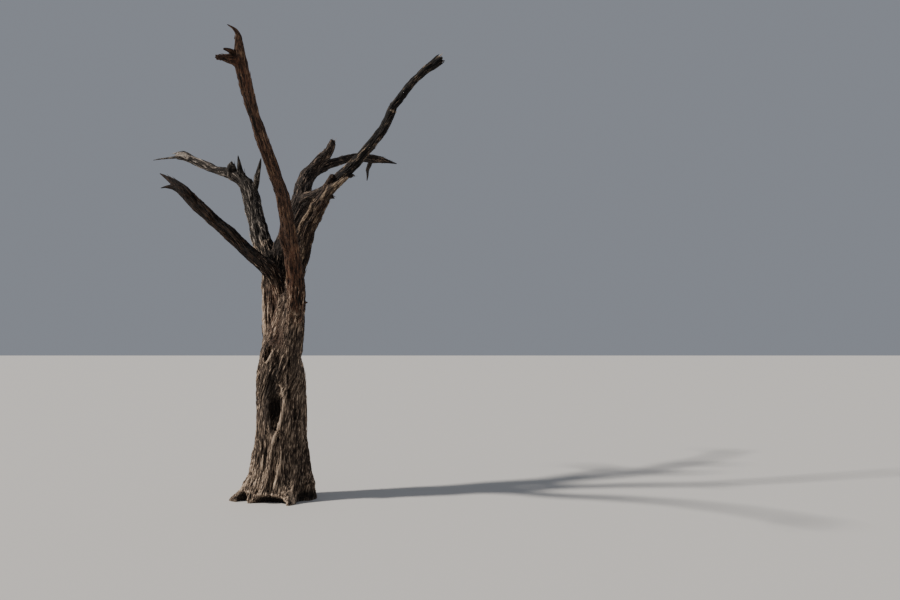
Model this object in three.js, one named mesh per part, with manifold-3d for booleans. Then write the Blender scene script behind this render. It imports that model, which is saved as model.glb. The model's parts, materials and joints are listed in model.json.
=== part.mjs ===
// A dead tree that still stands: one thick, twisted trunk on a flared foot, five broken boughs,
// and the arms, stubs and twigs that are left on them. The trunk ends on a flat cut at ground level.
// Millimetres, +Z up, origin in the middle of that cut, -Y is the side with the hollow.

import * as THREE from 'three';
import { mergeVertices } from 'three/addons/utils/BufferGeometryUtils.js';
import Module from 'manifold-3d';

const wasm = await Module();
wasm.setup();

const seat = 0.3;          // gap left where one limb's wood is cut from the next
const ringSpacing = 95;    // length of limb between two rings of points
const ridgeHeight = 0.07;  // how far the ridges of a limb stand out, as a share of its radius

const trunk = {
  sides: 64,
  rowHeight: 40,
  top: 1700,
  ridges: 9,
  ridgeHeight: 0.045,
  // radians that the ridges turn in each metre of height, below and above the height where they wind up
  twist: { low: 0.2, high: 2, from: 950 },
  // height, middle x, middle y, half width, half depth
  sections: [
    [0, 0, 25, 322, 205],
    [60, 8, 28, 322, 192],
    [150, 22, 34, 330, 180],
    [245, 33, 42, 296, 172],
    [395, 34, 48, 268, 164],
    [505, 38, 45, 249, 166],
    [620, 43, 38, 232, 174],
    [795, 45, 30, 230, 186],
    [965, 44, 15, 224, 196],
    [1115, 52, -8, 223, 208],
    [1205, 51, -20, 214, 210],
    [1320, 46, -30, 188, 202],
    [1400, 43, -30, 168, 182],
    [1480, 44, -22, 146, 152],
    [1600, 50, -10, 112, 112],
    [1700, 58, -6, 62, 66],
  ],
  // roots that run out where the trunk meets the ground: bearing, reach, half angle, height
  toes: [
    { bearing: 183, reach: 112, spread: 14, height: 80 },
    { bearing: -53, reach: 72, spread: 12, height: 120 },
    { bearing: 15, reach: 72, spread: 17, height: 110 },
    { bearing: 62, reach: 70, spread: 13, height: 140 },
    { bearing: 108, reach: 80, spread: 15, height: 150 },
    { bearing: 148, reach: 66, spread: 14, height: 130 },
  ],
  // furrows in the wood, and ridges where the depth is below 0: bearing and height of both ends,
  // half width, depth
  furrows: [
    { from: [-117, 600], to: [-131, 120], width: 26, depth: 22 },
    { from: [-85, 590], to: [-97, 130], width: 24, depth: 20 },
    { from: [-49, 420], to: [-47, 90], width: 22, depth: 20 },
    { from: [-12, 430], to: [-17, 80], width: 26, depth: 22 },
    { from: [-57, 1330], to: [-55, 970], width: 20, depth: 16 },
    { from: [-52, 960], to: [-30, 600], width: 20, depth: 14 },
    { from: [-53, 1600], to: [-86, 1320], width: 26, depth: 24 },
    { from: [-132, 1640], to: [-150, 1440], width: 26, depth: 22 },
    { from: [-146, 1330], to: [-152, 900], width: 22, depth: 14 },
    { from: [-70, 1000], to: [-82, 715], width: 24, depth: -14 },
    { from: [-82, 715], to: [-108, 480], width: 24, depth: -14 },
    { from: [-76, 470], to: [-89, 110], width: 20, depth: -10 },
    { from: [0, 1300], to: [-5, 600], width: 24, depth: 14 },
    { from: [30, 1250], to: [40, 300], width: 26, depth: 20 },
    { from: [45, 700], to: [38, 90], width: 24, depth: 22 },
    { from: [75, 1400], to: [85, 500], width: 28, depth: 22 },
    { from: [85, 420], to: [84, 80], width: 26, depth: 24 },
    { from: [125, 1300], to: [118, 700], width: 26, depth: 18 },
    { from: [128, 560], to: [128, 90], width: 26, depth: 24 },
    { from: [165, 1200], to: [168, 200], width: 26, depth: 20 },
  ],
};

// Every limb: stations of [x, y, z, radius] along its middle, from inside its parent to its end.
// cut is the station where its own wood starts, and what lies before it stays with its parent.
const limbs = {
  rightBough: {
    path: [
      [118, -40, 1000, 96], [148, -105, 1295, 96], [166, -138, 1445, 88], [180, -150, 1585, 86],
      [196, -155, 1725, 86], [203, -160, 1870, 84], [206, -165, 2025, 81], [230, -172, 2155, 77],
      [276, -200, 2310, 76], [316, -240, 2482, 75], [352, -260, 2568, 77], [408, -288, 2648, 69],
      [482, -315, 2764, 57], [524, -325, 2828, 53], [560, -330, 2882, 52], [590, -333, 2916, 40],
    ],
    cut: 6, sides: 18, ridges: 5, twist: 0.8,
  },
  rightBoughUpper: {
    path: [
      [554, -332, 2874, 40], [620, -330, 2942, 46], [690, -312, 3012, 47], [826, -290, 3166, 43],
      [950, -262, 3330, 43], [1020, -240, 3435, 45], [1068, -220, 3545, 43], [1092, -214, 3605, 42],
      [1110, -210, 3650, 35], [1160, -198, 3720, 35], [1250, -172, 3850, 34], [1380, -140, 4000, 35],
      [1475, -120, 4080, 41], [1538, -102, 4138, 48],
    ],
    cut: 2, sides: 14, ridges: 4, twist: 1.2, breakDepth: 46,
  },
  rightBoughShell: {
    path: [
      [520, -335, 2800, 42], [576, -378, 2850, 39], [636, -418, 2882, 28], [686, -448, 2908, 21],
      [730, -470, 2930, 12],
    ],
    sides: 12, ridges: 3, twist: 0, breakDepth: 20,
  },
  tallBough: {
    path: [
      [186, -125, 1395, 78], [222, -225, 1565, 80], [256, -345, 1720, 77], [287, -462, 1840, 74],
      [300, -555, 1985, 73], [299, -648, 2160, 69], [296, -785, 2345, 63], [293, -930, 2535, 55],
      [284, -1040, 2680, 50], [255, -1175, 2820, 47], [220, -1330, 2983, 46], [200, -1490, 3125, 43],
      [198, -1670, 3248, 41], [206, -1815, 3327, 42], [211, -1925, 3398, 44], [212, -1958, 3420, 30],
    ],
    cut: 4, sides: 16, ridges: 5, twist: 0.9,
  },
  tallBoughHorn: {
    path: [
      [210, -1925, 3396, 42], [216, -1975, 3440, 37], [227, -2020, 3463, 32], [239, -2070, 3490, 24],
      [243, -2100, 3514, 16], [235, -2124, 3530, 12], [222, -2162, 3534, 7], [209, -2208, 3530, 2],
    ],
    cut: 2, sides: 12, ridges: 3, twist: 0, spacing: 30,
  },
  tallBoughStub: {
    path: [
      [210, -1925, 3402, 40], [182, -1945, 3408, 42], [150, -1975, 3402, 32], [130, -2010, 3392, 24],
      [118, -2050, 3380, 19], [105, -2094, 3363, 16],
    ],
    cut: 3, sides: 10, ridges: 3, twist: 0, spacing: 30, breakDepth: 10,
  },
  tallBoughSnag: {
    path: [[194, -1955, 3432, 26], [160, -1998, 3446, 15], [136, -2040, 3440, 8]],
    sides: 8, ridges: 2, twist: 0, spacing: 30,
  },
  tallBoughSpike: {
    path: [
      [282, -740, 2235, 34], [250, -790, 2295, 26], [236, -822, 2355, 20], [238, -858, 2405, 13],
      [246, -888, 2455, 3],
    ],
    sides: 8, ridges: 2, twist: 0, spacing: 40,
  },
  backBough: {
    path: [
      [0, 112, 1280, 82], [-12, 128, 1560, 96], [-15, 132, 1810, 97], [-14, 122, 2060, 91],
      [-6, 110, 2205, 84], [10, 112, 2365, 77], [28, 126, 2435, 74], [98, 203, 2665, 75],
      [140, 285, 2835, 79], [148, 390, 2985, 80], [152, 510, 3107, 78], [172, 600, 3201, 76],
      [192, 650, 3257, 52],
    ],
    cut: 6, sides: 16, ridges: 5, twist: 1.1,
  },
  backBoughStub: {
    path: [
      [160, 575, 3177, 66], [222, 620, 3283, 60], [278, 608, 3347, 50], [368, 560, 3415, 45],
      [405, 530, 3470, 41], [430, 510, 3525, 30],
    ],
    cut: 2, sides: 12, ridges: 4, twist: 1, spacing: 60, breakDepth: 26,
  },
  backBoughArm: {
    path: [
      [160, 585, 3187, 68], [215, 690, 3265, 66], [272, 750, 3310, 60], [335, 822, 3361, 51],
      [430, 935, 3422, 43], [540, 1100, 3500, 45], [632, 1280, 3547, 48], [735, 1412, 3563, 49],
      [855, 1450, 3557, 33], [940, 1468, 3541, 17], [1010, 1480, 3525, 4],
    ],
    cut: 3, sides: 12, ridges: 4, twist: 1,
  },
  backBoughTwig: {
    path: [
      [722, 1415, 3555, 26], [690, 1500, 3510, 25], [660, 1580, 3473, 19], [650, 1668, 3425, 12],
      [636, 1730, 3381, 3],
    ],
    cut: 1, sides: 8, ridges: 2, twist: 0, spacing: 50,
  },
  backBoughSpur: {
    path: [
      [140, 275, 2835, 60], [212, 250, 2873, 60], [285, 226, 2895, 58], [345, 208, 2923, 50],
      [425, 202, 2980, 38], [512, 222, 3093, 27], [595, 262, 3210, 6],
    ],
    cut: 2, sides: 12, ridges: 3, twist: 0.8,
  },
  leftBackBough: {
    path: [
      [30, 30, 1015, 108], [-14, 55, 1295, 114], [-28, 70, 1525, 113], [-34, 80, 1705, 114],
      [-47, 92, 1870, 111], [-60, 106, 2035, 111], [-78, 122, 2160, 103], [-132, 158, 2300, 93],
      [-194, 198, 2425, 90], [-270, 250, 2650, 76], [-321, 300, 2800, 79], [-358, 335, 2930, 81],
      [-412, 358, 3043, 73], [-460, 366, 3095, 52],
    ],
    cut: 8, sides: 18, ridges: 6, twist: 0.7,
  },
  leftBackArm: {
    path: [
      [-405, 356, 3045, 58], [-500, 365, 3120, 60], [-590, 380, 3162, 52], [-660, 394, 3184, 46],
      [-735, 412, 3203, 40], [-850, 450, 3257, 45], [-995, 490, 3322, 41], [-1090, 514, 3368, 46],
      [-1176, 530, 3377, 38],
    ],
    cut: 3, sides: 12, ridges: 4, twist: 1, breakDepth: 28,
  },
  leftBackKnob: {
    path: [[-556, 362, 3150, 44], [-556, 346, 3197, 47], [-553, 332, 3233, 38], [-550, 322, 3253, 14]],
    sides: 10, ridges: 3, twist: 0, spacing: 30,
  },
  leftBackArmTwig: {
    path: [
      [-1110, 520, 3360, 15], [-1206, 540, 3362, 14], [-1290, 560, 3359, 10], [-1375, 580, 3355, 7],
      [-1450, 600, 3348, 2],
    ],
    cut: 1, sides: 6, ridges: 2, twist: 0,
  },
  leftBackStub: {
    path: [
      [-445, 352, 3070, 40], [-460, 340, 3145, 32], [-467, 325, 3193, 24], [-466, 296, 3251, 17],
      [-470, 270, 3313, 3],
    ],
    cut: 2, sides: 8, ridges: 2, twist: 0, spacing: 40,
  },
  leftBackTwig: {
    path: [
      [-350, 332, 2920, 38], [-316, 322, 2990, 32], [-290, 298, 3057, 28], [-274, 274, 3125, 24],
      [-246, 238, 3203, 17], [-226, 212, 3269, 2],
    ],
    cut: 2, sides: 8, ridges: 2, twist: 0, spacing: 60,
  },
  leftFrontBough: {
    path: [
      [60, 0, 1720, 56], [52, -12, 1880, 58], [14, -62, 2046, 70], [-34, -98, 2132, 73], [-90, -112, 2188, 69],
      [-150, -122, 2234, 63], [-238, -128, 2308, 61], [-380, -140, 2449, 61], [-560, -156, 2604, 58],
      [-720, -168, 2750, 56], [-822, -178, 2862, 52], [-903, -180, 2930, 38], [-958, -178, 2973, 26],
      [-1009, -172, 3005, 15], [-1055, -170, 3032, 3],
    ],
    cut: 5, sides: 14, ridges: 4, twist: 1,
  },
  leftFrontProng: {
    path: [
      [-820, -178, 2835, 34], [-890, -184, 2890, 29], [-950, -190, 2905, 19], [-996, -197, 2901, 10],
      [-1032, -200, 2891, 3],
    ],
    sides: 8, ridges: 2, twist: 0, spacing: 50,
  },
  trunkCrest: {
    path: [
      [-40, -70, 1380, 72], [0, -92, 1460, 80], [50, -110, 1572, 82], [76, -128, 1690, 74],
      [84, -142, 1765, 64], [94, -152, 1840, 50], [98, -152, 1890, 30],
    ],
    sides: 14, ridges: 3, twist: 2,
  },
  trunkWeb: {
    path: [[110, -130, 1400, 66], [130, -165, 1560, 66], [150, -185, 1690, 54], [152, -185, 1800, 34]],
    sides: 12, ridges: 3, twist: 2,
  },
  rightBoughKnob: {
    path: [[530, -335, 2850, 46], [556, -350, 2915, 42], [568, -356, 2955, 31]],
    sides: 10, ridges: 3, twist: 0, spacing: 40,
  },
};

// Places where the wood is eaten away: spindles of [x, y, z, radius] that are cut out of the trunk.
const hollows = {
  frontHollow: {
    path: [
      [58, -205, 1000, 6], [46, -165, 955, 40], [38, -140, 880, 58], [36, -138, 800, 54],
      [28, -142, 710, 36], [20, -165, 610, 6],
    ],
    sides: 14,
  },
  frontScoop: {
    path: [
      [44, -290, 1190, 20], [26, -280, 1100, 90], [10, -274, 980, 114], [8, -272, 860, 114],
      [16, -260, 740, 80], [20, -238, 640, 30],
    ],
    sides: 20,
  },
  knotHole: {
    path: [
      [-50, -228, 1290, 6], [-40, -192, 1326, 30], [-24, -182, 1368, 38], [-8, -184, 1406, 30],
      [4, -218, 1448, 6],
    ],
    sides: 10,
  },
  backSplit: {
    path: [[20, 245, 985, 5], [-10, 236, 825, 30], [-32, 226, 665, 34], [-52, 236, 505, 5]],
    sides: 10,
  },
};

// The foot is worn hollow under its front edge and beside its toes: middle, and half width, depth
// and height of each arch.
const footArches = [
  { middle: [-28, -190, -8], size: [184, 120, 88] },
  { middle: [-276, -84, 0], size: [62, 66, 98] },
  { middle: [286, -98, 0], size: [62, 70, 88] },
];

const woods = {
  trunk: { color: '#6f5f50', roughness: 0.92 },
  tall: { color: '#7a5640', roughness: 0.9 },
  right: { color: '#4a3a2e', roughness: 0.92 },
  back: { color: '#5f5145', roughness: 0.92 },
  leftBack: { color: '#85786a', roughness: 0.9 },
  leftFront: { color: '#3c332c', roughness: 0.94 },
};

// rounded ridges with sharper grooves between them, from -1 in a groove to 1 on a ridge
function ridge(count, angle) {
  return 2 * Math.abs(Math.cos((count * angle) / 2)) - 1;
}

// value of a table's column at a height, in between its rows
function readTable(rows, height, column) {
  const last = rows.length - 1;
  let i = 0;
  while (i < last - 1 && height > rows[i + 1][0]) i += 1;
  const share = (height - rows[i][0]) / (rows[i + 1][0] - rows[i][0]);
  return THREE.MathUtils.lerp(rows[i][column], rows[i + 1][column], THREE.MathUtils.clamp(share, 0, 1));
}

// rings of a limb: middle, three directions and radius, with one ring on each station
function ringsOf(limb) {
  const points = limb.path.map(([x, y, z]) => new THREE.Vector3(x, y, z));
  const curve = new THREE.CatmullRomCurve3(points, false, 'centripetal');
  const rings = [];
  const side = new THREE.Vector3(1, 0, 0);
  let run = 0;
  for (let station = 0; station < points.length - 1; station += 1) {
    const length = points[station].distanceTo(points[station + 1]);
    const steps = Math.max(1, Math.round(length / (limb.spacing ?? ringSpacing)));
    const lastStep = station === points.length - 2 ? steps : steps - 1;
    for (let step = 0; step <= lastStep; step += 1) {
      const share = step / steps;
      const t = (station + share) / (points.length - 1);
      const along = curve.getTangent(t);
      side.addScaledVector(along, -side.dot(along)).normalize();
      rings.push({
        station: station + share,
        middle: curve.getPoint(t),
        along,
        side: side.clone(),
        across: side.clone().cross(along),
        radius: THREE.MathUtils.lerp(limb.path[station][3], limb.path[station + 1][3], share),
        turn: ((limb.twist ?? 0) * (run + share * length)) / 1000,
      });
    }
    run += length;
  }
  return rings;
}

// a closed tube: a cylinder whose rows are laid on the rings from one station to another
function tubeGeometry(limb, from = 0, to = limb.path.length - 1, shift = 0) {
  const rings = ringsOf(limb).filter(({ station }) => station >= from - 1e-6 && station <= to + 1e-6);
  const rows = rings.length - 1;
  const geometry = new THREE.CylinderGeometry(1, 1, 1, limb.sides, rows);
  const position = geometry.attributes.position;
  const atEnd = to === limb.path.length - 1;
  for (let i = 0; i < position.count; i += 1) {
    const row = Math.round((position.getY(i) + 0.5) * rows);
    const ring = rings[row];
    const out = Math.hypot(position.getX(i), position.getZ(i));
    const angle = Math.atan2(position.getZ(i), position.getX(i));
    const shape = 1 + ridgeHeight * ridge(limb.ridges ?? 0, angle + ring.turn);
    const reach = out * ring.radius * (limb.ridges ? shape : 1);
    const point = ring.middle.clone();
    point.addScaledVector(ring.side, Math.cos(angle) * reach);
    point.addScaledVector(ring.across, Math.sin(angle) * reach);
    if (row === 0) point.addScaledVector(ring.along, shift);
    if (row === rows && atEnd && limb.breakDepth) {
      const splinter = Math.cos(2 * angle + 0.6) + 0.6 * Math.cos(5 * angle);
      point.addScaledVector(ring.along, limb.breakDepth * (out > 0.5 ? 0.5 * splinter : -0.5));
    }
    position.setXYZ(i, point.x, point.y, point.z);
  }
  return geometry;
}

// how far the trunk's ridges have turned at a height, in radians
function trunkTurn(height) {
  const { low, high, from } = trunk.twist;
  return (low * height + (high - low) * Math.max(0, height - from)) / 1000;
}

// how deep the furrows cut at a bearing and a height, where the trunk is this wide
function furrowDepth(bearing, height, radius) {
  let depth = 0;
  for (const { from, to, width, depth: full } of trunk.furrows) {
    const share = THREE.MathUtils.clamp((height - from[1]) / (to[1] - from[1]), 0, 1);
    let away = THREE.MathUtils.radToDeg(bearing) - THREE.MathUtils.lerp(from[0], to[0], share);
    away = THREE.MathUtils.degToRad(THREE.MathUtils.euclideanModulo(away + 180, 360) - 180) * radius;
    const beyond = height - THREE.MathUtils.lerp(from[1], to[1], share);
    depth += full * Math.exp(-((away / width) ** 2) - (beyond / 60) ** 2);
  }
  return depth;
}

// the trunk's own outline at a bearing and a height: an oval with ridges, furrows and root toes
function trunkReach(bearing, height) {
  const halfWidth = readTable(trunk.sections, height, 3);
  const halfDepth = readTable(trunk.sections, height, 4);
  const oval = 1 / Math.hypot(Math.cos(bearing) / halfWidth, Math.sin(bearing) / halfDepth);
  const turn = trunkTurn(height);
  const ridges = 0.7 * ridge(trunk.ridges, bearing - turn) + 0.3 * ridge(4, bearing - 1.6 * turn + 0.5);
  let reach = oval * (1 + trunk.ridgeHeight * ridges) - furrowDepth(bearing, height, oval);
  for (const toe of trunk.toes) {
    let away = THREE.MathUtils.radToDeg(bearing) - toe.bearing;
    away = THREE.MathUtils.euclideanModulo(away + 180, 360) - 180;
    reach += toe.reach * Math.exp(-((away / toe.spread) ** 2)) * Math.exp(-((height / toe.height) ** 2));
  }
  return reach;
}

function trunkGeometry() {
  const rows = Math.round(trunk.top / trunk.rowHeight);
  const geometry = new THREE.CylinderGeometry(1, 1, 1, trunk.sides, rows);
  const position = geometry.attributes.position;
  for (let i = 0; i < position.count; i += 1) {
    const height = Math.round((position.getY(i) + 0.5) * rows) * (trunk.top / rows);
    const bearing = Math.atan2(-position.getZ(i), position.getX(i));
    const out = Math.hypot(position.getX(i), position.getZ(i));
    const reach = out * trunkReach(bearing, height);
    const x = readTable(trunk.sections, height, 1) + Math.cos(bearing) * reach;
    const y = readTable(trunk.sections, height, 2) + Math.sin(bearing) * reach;
    position.setXYZ(i, x, y, height);
  }
  return geometry;
}

function solidOf(geometry) {
  geometry.deleteAttribute('normal');
  geometry.deleteAttribute('uv');
  const merged = mergeVertices(geometry, 1e-3);
  const vertProperties = new Float32Array(merged.attributes.position.array);
  const triVerts = new Uint32Array(merged.index.array);
  return new wasm.Manifold(new wasm.Mesh({ numProp: 3, vertProperties, triVerts }));
}

// the stretch of a limb that stays with its parent, from its root to its cut
function collar(name) {
  return solidOf(tubeGeometry(limbs[name], 0, limbs[name].cut));
}

// the limb's own wood, from its cut to its end, a hair clear of the collar that it sits on
function ownWood(name) {
  return solidOf(tubeGeometry(limbs[name], limbs[name].cut ?? 0, undefined, limbs[name].cut ? seat : 0));
}

function join(solids) {
  return solids.reduce((whole, next) => whole.add(next));
}

function archSolid({ middle, size }) {
  const arch = new THREE.SphereGeometry(1, 16, 10);
  arch.scale(...size);
  arch.translate(...middle);
  return solidOf(arch);
}

function trunkSolid() {
  const wood = join([
    solidOf(trunkGeometry()),
    collar('rightBough'),
    collar('tallBough'),
    collar('leftBackBough'),
    collar('backBough'),
    collar('leftFrontBough'),
    ownWood('trunkCrest'),
    ownWood('trunkWeb'),
  ]);
  const eaten = Object.values(hollows).map((hollow) => solidOf(tubeGeometry(hollow)));
  return wood.subtract(join([...eaten, ...footArches.map(archSolid)]));
}

const tree = new THREE.Group();
tree.name = 'dead_tree';

function addNode(name, wood, solid) {
  const { vertProperties, triVerts } = solid.getMesh();
  const geometry = new THREE.BufferGeometry();
  geometry.setAttribute('position', new THREE.BufferAttribute(new Float32Array(vertProperties), 3));
  geometry.setIndex(new THREE.BufferAttribute(new Uint32Array(triVerts), 1));
  geometry.computeVertexNormals();
  const material = new THREE.MeshStandardMaterial({ ...woods[wood], metalness: 0, flatShading: true });
  const mesh = new THREE.Mesh(geometry, material);
  mesh.name = name;
  tree.add(mesh);
}

addNode('trunk', 'trunk', trunkSolid());

addNode('tall_bough', 'tall', join([
  ownWood('tallBough'),
  ownWood('tallBoughSnag'),
  collar('tallBoughHorn'),
  ownWood('tallBoughSpike'),
  collar('tallBoughStub'),
]));
addNode('tall_bough_horn', 'tall', ownWood('tallBoughHorn'));
addNode('tall_bough_stub', 'tall', ownWood('tallBoughStub'));

addNode('right_bough', 'right', join([
  ownWood('rightBough'),
  ownWood('rightBoughShell'),
  ownWood('rightBoughKnob'),
  collar('rightBoughUpper'),
]));
addNode('right_bough_upper', 'right', ownWood('rightBoughUpper'));

addNode('back_bough', 'back', join([
  ownWood('backBough'),
  collar('backBoughStub'),
  collar('backBoughArm'),
  collar('backBoughSpur'),
]));
addNode('back_bough_stub', 'back', ownWood('backBoughStub'));
addNode('back_bough_arm', 'back', join([ownWood('backBoughArm'), collar('backBoughTwig')]));
addNode('back_bough_twig', 'back', ownWood('backBoughTwig'));
addNode('back_bough_spur', 'back', ownWood('backBoughSpur'));

addNode('left_back_bough', 'leftBack', join([
  ownWood('leftBackBough'),
  ownWood('leftBackKnob'),
  collar('leftBackArm'),
  collar('leftBackStub'),
  collar('leftBackTwig'),
]));
addNode('left_back_arm', 'leftBack', join([ownWood('leftBackArm'), collar('leftBackArmTwig')]));
addNode('left_back_arm_twig', 'leftBack', ownWood('leftBackArmTwig'));
addNode('left_back_stub', 'leftBack', ownWood('leftBackStub'));
addNode('left_back_twig', 'leftBack', ownWood('leftBackTwig'));

addNode('left_front_bough', 'leftFront', join([
  ownWood('leftFrontBough'),
  ownWood('leftFrontProng'),
]));

export default tree;
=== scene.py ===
import json
import math

import bpy
import numpy as np
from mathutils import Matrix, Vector

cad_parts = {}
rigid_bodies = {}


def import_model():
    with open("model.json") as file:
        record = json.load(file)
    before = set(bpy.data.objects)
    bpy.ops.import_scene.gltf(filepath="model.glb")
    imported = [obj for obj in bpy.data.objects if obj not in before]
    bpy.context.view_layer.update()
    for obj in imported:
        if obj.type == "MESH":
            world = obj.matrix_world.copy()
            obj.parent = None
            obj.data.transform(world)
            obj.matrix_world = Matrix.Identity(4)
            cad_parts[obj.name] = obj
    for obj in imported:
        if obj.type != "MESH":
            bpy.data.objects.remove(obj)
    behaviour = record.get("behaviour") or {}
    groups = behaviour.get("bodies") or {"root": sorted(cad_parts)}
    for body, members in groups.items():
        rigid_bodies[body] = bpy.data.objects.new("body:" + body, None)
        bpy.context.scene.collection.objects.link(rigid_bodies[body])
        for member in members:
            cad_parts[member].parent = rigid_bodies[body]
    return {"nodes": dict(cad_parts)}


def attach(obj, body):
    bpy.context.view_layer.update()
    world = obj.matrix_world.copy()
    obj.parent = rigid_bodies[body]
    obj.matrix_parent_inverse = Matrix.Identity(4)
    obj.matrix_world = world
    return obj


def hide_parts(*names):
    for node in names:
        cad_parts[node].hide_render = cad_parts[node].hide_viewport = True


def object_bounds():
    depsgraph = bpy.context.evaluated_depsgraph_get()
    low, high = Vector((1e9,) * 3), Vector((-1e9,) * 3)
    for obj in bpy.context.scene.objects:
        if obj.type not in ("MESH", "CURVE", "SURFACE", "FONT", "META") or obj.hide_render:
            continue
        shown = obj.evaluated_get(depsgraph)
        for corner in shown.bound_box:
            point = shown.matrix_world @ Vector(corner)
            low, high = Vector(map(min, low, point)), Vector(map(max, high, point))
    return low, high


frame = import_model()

# A dead tree that still stands. Its wood is one skin, grown round the middle lines of the trunk
# and the limbs, then cut into the pieces that stand for the solids. Metres, +Z up.

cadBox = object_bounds()
print("frame loaded:", len(frame["nodes"]), "solids")

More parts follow.
